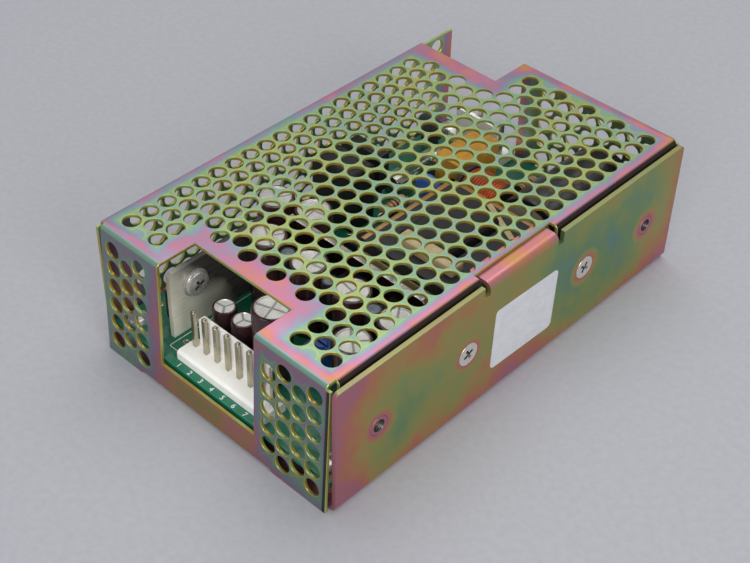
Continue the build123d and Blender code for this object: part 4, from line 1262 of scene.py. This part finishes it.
@dataclass
class Capacitors:
    """The sleeved cans, the lying bulk can, and the discs."""

    def build(self) -> list[Object]:
        """Turn each kind once and copy it to its places."""
        made = []
        for kind, can, spins in (
            ("output_capacitor", Can(5.0, 21.2, MAROON), (35, 80, 12, 150, 50, 20)),
            ("small_capacitor", Can(3.15, 11.1, MAROON, 0.5, 30, SILVER), (25, 70)),
            ("primary_capacitor", Can(5.0, 21.2, MAROON), (100, 62)),
        ):
            made += stand(can.build(kind), Slot.MAROON, numbered(kind, len(spins)), spins)
        made.append(self.bulk())
        for node, thick, finish, slot in (
            ("line_disc_capacitor", 3.2, BLUE, Slot.DISC), ("start_disc_capacitor", 3.2, BLUE, Slot.DISC),
            ("thermistor", 4.0, THERMISTOR, Slot.PACKAGE),
        ):
            made.append(self.disc(node, 4.6, thick / 2, finish, slot))
        return made

    def bulk(self) -> Object:
        """The bulk can, lying on its side with its end to the front."""
        low, high = corners("bulk_capacitor")
        piece = Can(11.0, high.y - low.y, BLACK_SLEEVE, 1.2, 48).build("bulk_capacitor_piece")
        centre = middle("bulk_capacitor")
        put(piece, (centre.x, high.y, centre.z), turn(Axis.X, 90))
        return hand_in(piece, Slot.SLEEVE, "bulk_capacitor")

    def disc(self, node: str, radius: float, half: float, finish: Finish, slot: Slot) -> Object:
        """A coated disc with its two leads."""
        rim = ((0.6, 0.97), (0.86, 0.72), (0.97, 0.36))
        lower = [(radius * share, -half * rise) for share, rise in rim]
        upper = [(radius * share, half * rise) for share, rise in reversed(rim)]
        disc = coat(lathe("disc", [(0, -half), *lower, (radius, 0), *upper, (0, half)]), finish)
        base = foot(node)
        pieces = [put(disc, (base.x, base.y, base.z + 2.4 + radius), turn(Axis.X, 90))]
        for side in (-1, 1):
            x = base.x + side * radius / 2
            skirt = lathe("skirt", [(0, 0), (0.55, 0), (0.75, 0.6), (0.95, 1.8), (0, 1.8)], 12)
            pieces.append(put(coat(skirt, finish), (x, base.y, base.z + 1.2)))
            lead = lathe("lead", [(0, 0), (0.36, 0), (0.36, 3.2), (0, 3.2)], 10)
            pieces.append(put(coat(lead, TIN), (x, base.y, base.z)))
        return hand_in(join(node + "_piece", pieces), slot, node)


@dataclass
class Chokes:
    """The rod chokes between the cans and the wound drum at the line side."""

    wire: float = 0.86
    core: float = 4.2
    turn_form: tuple[Point, ...] = (
        (0.14, 0.62), (0.32, 0.9), (0.5, 1.0), (0.68, 0.9), (0.86, 0.62), (1.0, 0.12),
    )

    def build(self) -> list[Object]:
        """Build the rods, the drum and its winding."""
        model = lathe("rod_choke", [
            (0, 0), (2.1, 0), (2.3, 0.3), (2.3, 19.6), (2.05, 20.0), (1.7, 20.05), (1.62, 19.9), (0, 19.95),
        ], 28)
        coat(model, BLACK_SLEEVE, FERRITE_END)
        paint(model, 1, lambda face: face.normal.z > 0.6 and out(face) < 1.66)
        made = stand(model, Slot.SLEEVE, numbered("rod_choke", 3))
        made += Dressed(Slot.FERRITE, FERRITE, 0.3, 2, "line_choke_core").build()
        return made + [self.winding()]

    def winding(self) -> Object:
        """Turns of enamelled wire, side by side on the drum."""
        low, high = corners("line_choke_winding")
        centre = middle("line_choke_winding")
        length = high.x - low.x
        outer = (high.y - low.y) / 2 * 0.995
        count = int(length / self.wire)
        pitch = length / count
        valley = outer - pitch * 0.5
        profile = [(self.core, 0.0), (valley, 0.0)]
        for at in range(count):
            for share, lift in self.turn_form:
                profile.append((valley + pitch * 0.5 * lift, (at + share) * pitch))
        profile.append((self.core, length))
        piece = coat(lathe("line_choke_winding_piece", profile, 40), COPPER)
        put(piece, (low.x, centre.y, centre.z), turn(Axis.Y, 90))
        return hand_in(piece, Slot.COPPER, "line_choke_winding")


@dataclass
class TransformerTrim:
    """Tape on the transformer: amber strips on the core's edge, crepe before and behind the coil."""

    core: tuple[float, float, float, float] = (-0.2, 28.2, -14.3, 20.1)
    top: float = 28.9
    strip: float = 1.3
    thick: float = 0.12

    def build(self) -> list[Object]:
        """Lay the strips on the core."""
        left, right, front, rear = self.core
        over = self.top + self.thick
        amber = [
            box("strip", (left, front, self.top), (left + self.strip, rear, over)),
            box("strip", (left, rear - self.strip, self.top), (right, rear, over)),
        ]
        for piece in amber:
            coat(soften(piece, 0.04, 2), AMBER)
        pad = box("pad", (8.0, -10.4, self.top), (26.5, -6.0, self.top + 3.15))
        flag = box("flag", (-7.6, -0.8, 0.0), (7.6, 0.8, 0.35))
        put(flag, (20.4, 15.0, self.top), turn(Axis.Z, -27))
        for piece, edge in ((pad, 0.6), (flag, 0.12)):
            coat(soften(piece, edge, 3), CREPE)
        return [
            hand_in(join("transformer_edge_tape", amber), Slot.TAPE),
            hand_in(join("transformer_crepe_tape", [pad, flag]), Slot.BOBBIN),
        ]


@dataclass
class SmallParts:
    """Resistors and the fuse."""

    axis_height: float = 2.7

    def build(self) -> list[Object]:
        """Build each kind once and copy it."""
        return stand(self.resistor(), Slot.RESISTOR, numbered("resistor", 4)) + [self.fuse()]

    def resistor(self) -> Object:
        """A banded body with bulged ends on two bent leads, lying along Y."""
        end = [(0, -4.5), (0.6, -4.5), (1.5, -4.3), (1.85, -3.8), (1.88, -3.0), (1.7, -2.5)]
        waist = [(1.66, y) for y in (-2.2, -1.5, -0.9, -0.2, 0.4, 1.1, 1.7, 2.4)]
        body = lathe("resistor_body", [*end, *waist, *[(radius, -y) for radius, y in reversed(end)]], 24)
        coat(body, TAN, *BANDS)
        for number in range(1, len(BANDS) + 1):
            start = 1.3 * number - 3.55
            paint(body, number, lambda face: start < face.center.z / MM < start + 0.8)
        pieces = [put(body, (0, 0, self.axis_height), turn(Axis.X, 90))]
        for side in (-1, 1):
            path = ((4.3, self.axis_height), (5.4, self.axis_height), (5.8, 2.62), (6.0, 2.3), (6.0, 0.0))
            lead = lines(
                "lead", [[(0, side * y, z) for y, z in path]], False, dimensions="3D",
                bevel_depth=0.36 * MM, bevel_resolution=2, use_fill_caps=True,
            )
            pieces.append(shade(coat(lead, TIN), 40))
        return join("resistor", pieces)

    def fuse(self) -> Object:
        """A glass tube with two metal caps and its wire."""
        centre = middle("fuse")
        parts = []
        for side in (-1, 1):
            cap = lathe("cap", [(0, 4.5), (2.45, 4.5), (2.6, 4.7), (2.6, 9.8), (2.45, 10.0), (0, 10.0)], 28)
            parts.append(put(coat(cap, NICKEL), centre, turn(Axis.X, -90 * side)))
        tube = coat(lathe("tube", [(2.05, -4.6), (2.38, -4.6), (2.38, 4.6), (2.05, 4.6)], 28), GLASS)
        wire = coat(lathe("wire", [(0, -4.6), (0.13, -4.6), (0.13, 4.6), (0, 4.6)], 8), NICKEL)
        parts += [put(part, centre, turn(Axis.X, 90)) for part in (tube, wire)]
        return hand_in(join("fuse_piece", parts), Slot.PIN, "fuse")


# Fasteners

@dataclass(frozen=True)
class Screw:
    """A screw with a cross recess, its head on the origin and its shank below.

    The head's profile starts at the shank, and below the dark level the cross recess gets painted shade, a
    darker steel.
    """

    head: tuple[Point, ...]
    reach: float
    deep: float
    length: float
    dark: Optional[float] = None
    shank: float = 1.45
    steps: int = 36

    def build(self) -> Object:
        """Turn the screw and cut its recess."""
        top = self.head[-1][1]
        start = [(0, -self.length), (self.shank * 0.8, -self.length), (self.shank, -self.length + 0.4)]
        piece = lathe("screw", [*start, *self.head], self.steps)
        combine(piece, self.recess(top), "DIFFERENCE")
        coat(piece, STEEL)
        # Painted shade: the cross recess below the dark level gets the dark steel.
        if self.dark is not None:
            coat(piece, STEEL, PAINTED_SHADE_STEEL)
            paint(piece, 1, self.in_recess)
        return shade(piece, 34)

    def recess(self, top: float) -> Object:
        """A cross-shaped cutter with sloping ends."""
        bars = []
        for across in (True, False):
            half = (self.reach, 0.42) if across else (0.42, self.reach)
            bar = box("bar", (-half[0], -half[1], top - self.deep), (half[0], half[1], top + 0.6))
            for vertex in bar.data.vertices:
                if vertex.co.z < top * MM:
                    vertex.co.x *= 0.42 if across else 0.8
                    vertex.co.y *= 0.8 if across else 0.42
            bars.append(bar)
        return combine(*bars, "UNION")

    def in_recess(self, face: Face) -> bool:
        """Tell a face of the cross recess from one of the head."""
        return out(face) < self.reach and -1.3 < face.center.z / MM < self.dark and face.normal.z > -0.1


def raised(radius: float, height: float, shares: Sequence[Point]) -> tuple[Point, ...]:
    """A raised head's profile, from the shank out, as shares of its radius and height."""
    return ((Screw.shank, 0), *((radius * wide, height * up) for wide, up in shares))


def pan(height: float, length: float, radius: float = 2.8) -> Screw:
    """A pan-head screw."""
    head = raised(radius, height, ((0.97, 0), (1, 0.16), (0.97, 0.5), (0.84, 0.82), (0.55, 0.97), (0, 1)))
    return Screw(head, radius * 0.56, height * 0.62, length, steps=32)


@dataclass
class Fasteners:
    """Recessed screws, the washer and the pressed-in nuts."""

    wall: float = 40.85
    board_top: float = 8.4
    board_inset: float = 2.86

    def build(self) -> list[Object]:
        """Build each fastener and copy it to its places."""
        low, high = corners("board_screws")
        columns = (low.x + self.board_inset, high.x - self.board_inset)
        rows = (low.y + self.board_inset, high.y - self.board_inset)
        board = [(x, y, self.board_top) for x in columns for y in rows]
        cover = [(-self.wall, y, Cover.screw_height) for y in Cover.screw_places]
        centre = middle("heatsink_screw")
        plate = [(corners("heatsink_screw")[1].x - 2.0, centre.y, centre.z)]
        wall = [(self.wall, y, 20.2) for y in (-20.0, 24.9)]
        radius, height = 3.4, 1.3
        low_head = raised(radius, height, ((0.97, 0), (1, 0.3), (0.96, 0.7), (0.8, 0.94), (0, 1)))
        flat_head = ((1.5, -1.47), (1.93, -1.27), (3.08, -0.16), (3.2, -0.08), (3.14, 0.0), (0, 0.0))
        low_screw = Screw(low_head, radius * 0.62, height * 0.85, 6.4, height * 0.8)
        flat_screw = Screw(flat_head, 2.0, 1.15, 7.0, -0.2, 1.5)
        return [
            self.spread("board_screws", pan(2.0, 6.0), board, Matrix.Identity(4)),
            self.spread("cover_screws", pan(1.6, 2.7), cover, turn(Axis.Y, -90)),
            self.spread("heatsink_screw", low_screw, plate, turn(Axis.Y, 90)),
            self.spread("transistor_screws", flat_screw, wall, turn(Axis.Y, 90)),
            self.washer(), self.side_nuts(),
        ]

    def spread(self, node: str, screw: Screw, places: Sequence[Triple], turned: Matrix) -> Object:
        """Copy a screw to its places, each spun otherwise, and hand the set in for its node."""
        spins = [turned @ turn(Axis.Z, 27 + 31 * number) for number in range(len(places))]
        return hand_in(copies(screw.build(), node + "_piece", places, spins), Slot.SCREW, node)

    def washer(self) -> Object:
        """The washer under the plate's screw."""
        profile = [(1.6, 0), (3.7, 0), (3.9, 0.12), (3.9, 0.48), (3.7, 0.6), (1.6, 0.6)]
        piece = coat(lathe("heatsink_washer_piece", profile, 36), STEEL)
        centre = middle("heatsink_washer")
        put(piece, (corners("heatsink_washer")[0].x, centre.y, centre.z), turn(Axis.Y, 90))
        return hand_in(piece, Slot.SCREW, "heatsink_washer")

    def side_nuts(self) -> Object:
        """The threaded nuts pressed into the side wall."""
        deep = 2.87
        profile = [
            (1.9, 0.0), (3.5, 0.0), (3.6, 0.1), (3.6, 1.5), (3.5, 1.6), (2.66, 1.62), (2.66, 2.8), (2.6, deep),
            (1.76, deep),
        ]
        for at in range(6):
            height = 2.72 - at * 0.45
            profile += [(1.63, height - 0.1), (1.78, height - 0.33)]
        model = coat(lathe("side_nut", profile, 32), STEEL, CHASSIS_FILM, PAINTED_SHADE_STEEL)
        paint(model, 1, lambda face: face.center.z > 2.78 * MM)
        # Painted shade: the bore gets the dark steel, so the hole reads dark.
        paint(model, 2, lambda face: out(face) < 1.8)
        places = [(self.wall - deep, y, z) for y, z in HALOS[:2]]
        piece = copies(model, "side_mounting_nuts_piece", places, [turn(Axis.Y, 90)] * 2)
        return hand_in(piece, Slot.SCREW, "side_mounting_nuts")


# The board and the label

@dataclass
class Board:
    """The circuit board with its printed numbers, outlines and solder rings."""

    top: float = 8.4
    number_size: float = 2.1
    number_place: float = -63.2
    pin_first: float = -14.6
    pin_pitch: float = 3.96
    line: float = 0.1
    outlines: tuple[tuple[float, float, float, float], ...] = (
        (-21.6, -60.2, -21.6, -53.0), (-21.6, -60.2, -17.4, -60.2), (-17.4, -60.2, -17.4, -52.6),
        (-21.6, -53.0, -21.6, -27.0), (7.9, -36.4, 16.1, -36.4), (16.1, -44.6, 16.1, -36.4),
    )
    rings: tuple[Point, ...] = (
        (-19.6, -56.4), (-19.6, -50.2), (-20.2, -44.0), (6.8, -52.6), (9.4, -49.2), (-35.0, -52.0),
        (-33.0, -38.0), (-35.6, -46.0), (-31.0, -44.0), (-28.0, -36.0), (30.2, -53.0), (34.6, -36.0),
        (20.0, -48.0), (-5.0, 12.0), (-21.0, 3.0), (-34.0, -6.0), (-12.0, 52.0), (8.0, 46.0),
        (-20.5, 30.0), (33.0, 21.0),
    )

    def build(self) -> list[Object]:
        """Dress the board, print on it and ring its holes."""
        made = Dressed(Slot.BOARD, BOARD, 0.12, 2, "circuit_board").build()
        print_pieces = [self.number(at) for at in range(8)] + [self.bar(*ends) for ends in self.outlines]
        printed = coat(join("board_print", print_pieces), INK)
        ring = coat(lathe("ring", [(0.45, 0), (0.95, 0), (0.85, 0.09), (0.55, 0.12)], 20), TIN)
        rings = copies(ring, "board_rings", [(x, y, self.top) for x, y in self.rings])
        return made + [hand_in(printed, Slot.BOARD), hand_in(rings, Slot.PIN)]

    def number(self, at: int) -> Object:
        """The printed number before a pin, as a thin mesh."""
        text = bpy.data.curves.new("number", "FONT")
        text.body = str(at + 1)
        text.size = self.number_size * MM
        text.extrude = 0.015 * MM
        text.align_x = text.align_y = "CENTER"
        place = (self.pin_first + self.pin_pitch * at, self.number_place, self.top + 0.016)
        return put(meshed("number", text), place)

    def bar(self, x0: float, y0: float, x1: float, y1: float) -> Object:
        """A printed line from one point to another that isn't before it."""
        half = self.line
        return box("line", (x0 - half, y0 - half, self.top), (x1 + half, y1 + half, self.top + 0.03))


# The stage

@dataclass
class Stage:
    """The floor, the lamps and the camera."""

    aim: Triple = (0.00689, -0.01649, 0.020)
    eye: Triple = (0.19250, -0.21721, 0.25833)
    right: Triple = (0.72272918, 0.69087005, 0.01900275)
    down: Triple = (0.46450206, -0.46519567, -0.7535455)
    lens: float = 69.63
    sensor: float = 36
    world: float = 0.46

    def build(self) -> None:
        """Lay the floor, hang the lamps and set the camera."""
        bpy.ops.object.select_all(action="DESELECT")
        bpy.ops.mesh.primitive_grid_add(x_subdivisions=4, y_subdivisions=4, size=6)
        coat(named("floor"), FLOOR)
        self.sky()
        self.lamp("overhead", (-0.15, 0.25, 0.9), 0.9, 5.2)
        self.lamp("front", (0.5, -0.85, 0.6), 0.5, 5.0)
        self.lamp("right", (0.85, -0.3, 0.5), 0.4, 3.4)
        self.camera()

    def sky(self) -> None:
        """An even soft studio surround."""
        world = bpy.data.worlds.new("studio")
        world.use_nodes = True
        back = world.node_tree.nodes["Background"]
        back.inputs[0].default_value = linear("f2f3f6")
        back.inputs[1].default_value = self.world
        bpy.context.scene.world = world

    def lamp(self, name: str, place: Triple, size: float, power: float) -> None:
        """A soft square lamp that looks at the object."""
        data = bpy.data.lights.new(name, "AREA")
        data.size = size
        data.energy = power
        lamp = link(name, data)
        lamp.location = place
        lamp.rotation_mode = "QUATERNION"
        lamp.rotation_quaternion = (Vector(self.aim) - Vector(place)).to_track_quat("-Z", "Y")

    def camera(self) -> None:
        """The camera at the photograph's place."""
        data = bpy.data.cameras.new("camera")
        data.sensor_width = self.sensor
        data.lens = self.lens
        data.clip_start = 0.01
        data.clip_end = 20
        camera = link("camera", data)
        across = Vector(self.right).normalized()
        up = -Vector(self.down).normalized()
        back = across.cross(up).normalized()
        up = back.cross(across)
        turned = Matrix((across, up, back)).transposed()
        camera.matrix_world = Matrix.Translation(self.eye) @ turned.to_4x4()
        bpy.context.scene.camera = camera


def main() -> None:
    """Build every piece in order, light it and note the size."""
    logging.basicConfig(level=logging.INFO, format="%(message)s")
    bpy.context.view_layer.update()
    label = Dressed(Slot.LABEL, LABEL, 0.05, 2, "rating_label")
    for builder in (
        Cover(), Boxes(), Capacitors(), Chokes(), TransformerTrim(), SmallParts(), Fasteners(), Board(),
        label,
    ):
        made = builder.build()
        for piece in made if isinstance(made, list) else [made]:
            LOG.info("%s: %d faces", piece.name, len(piece.data.polygons))
    Stage().build()
    bpy.context.scene.view_settings.view_transform = "Standard"


if __name__ == "__main__":
    main()
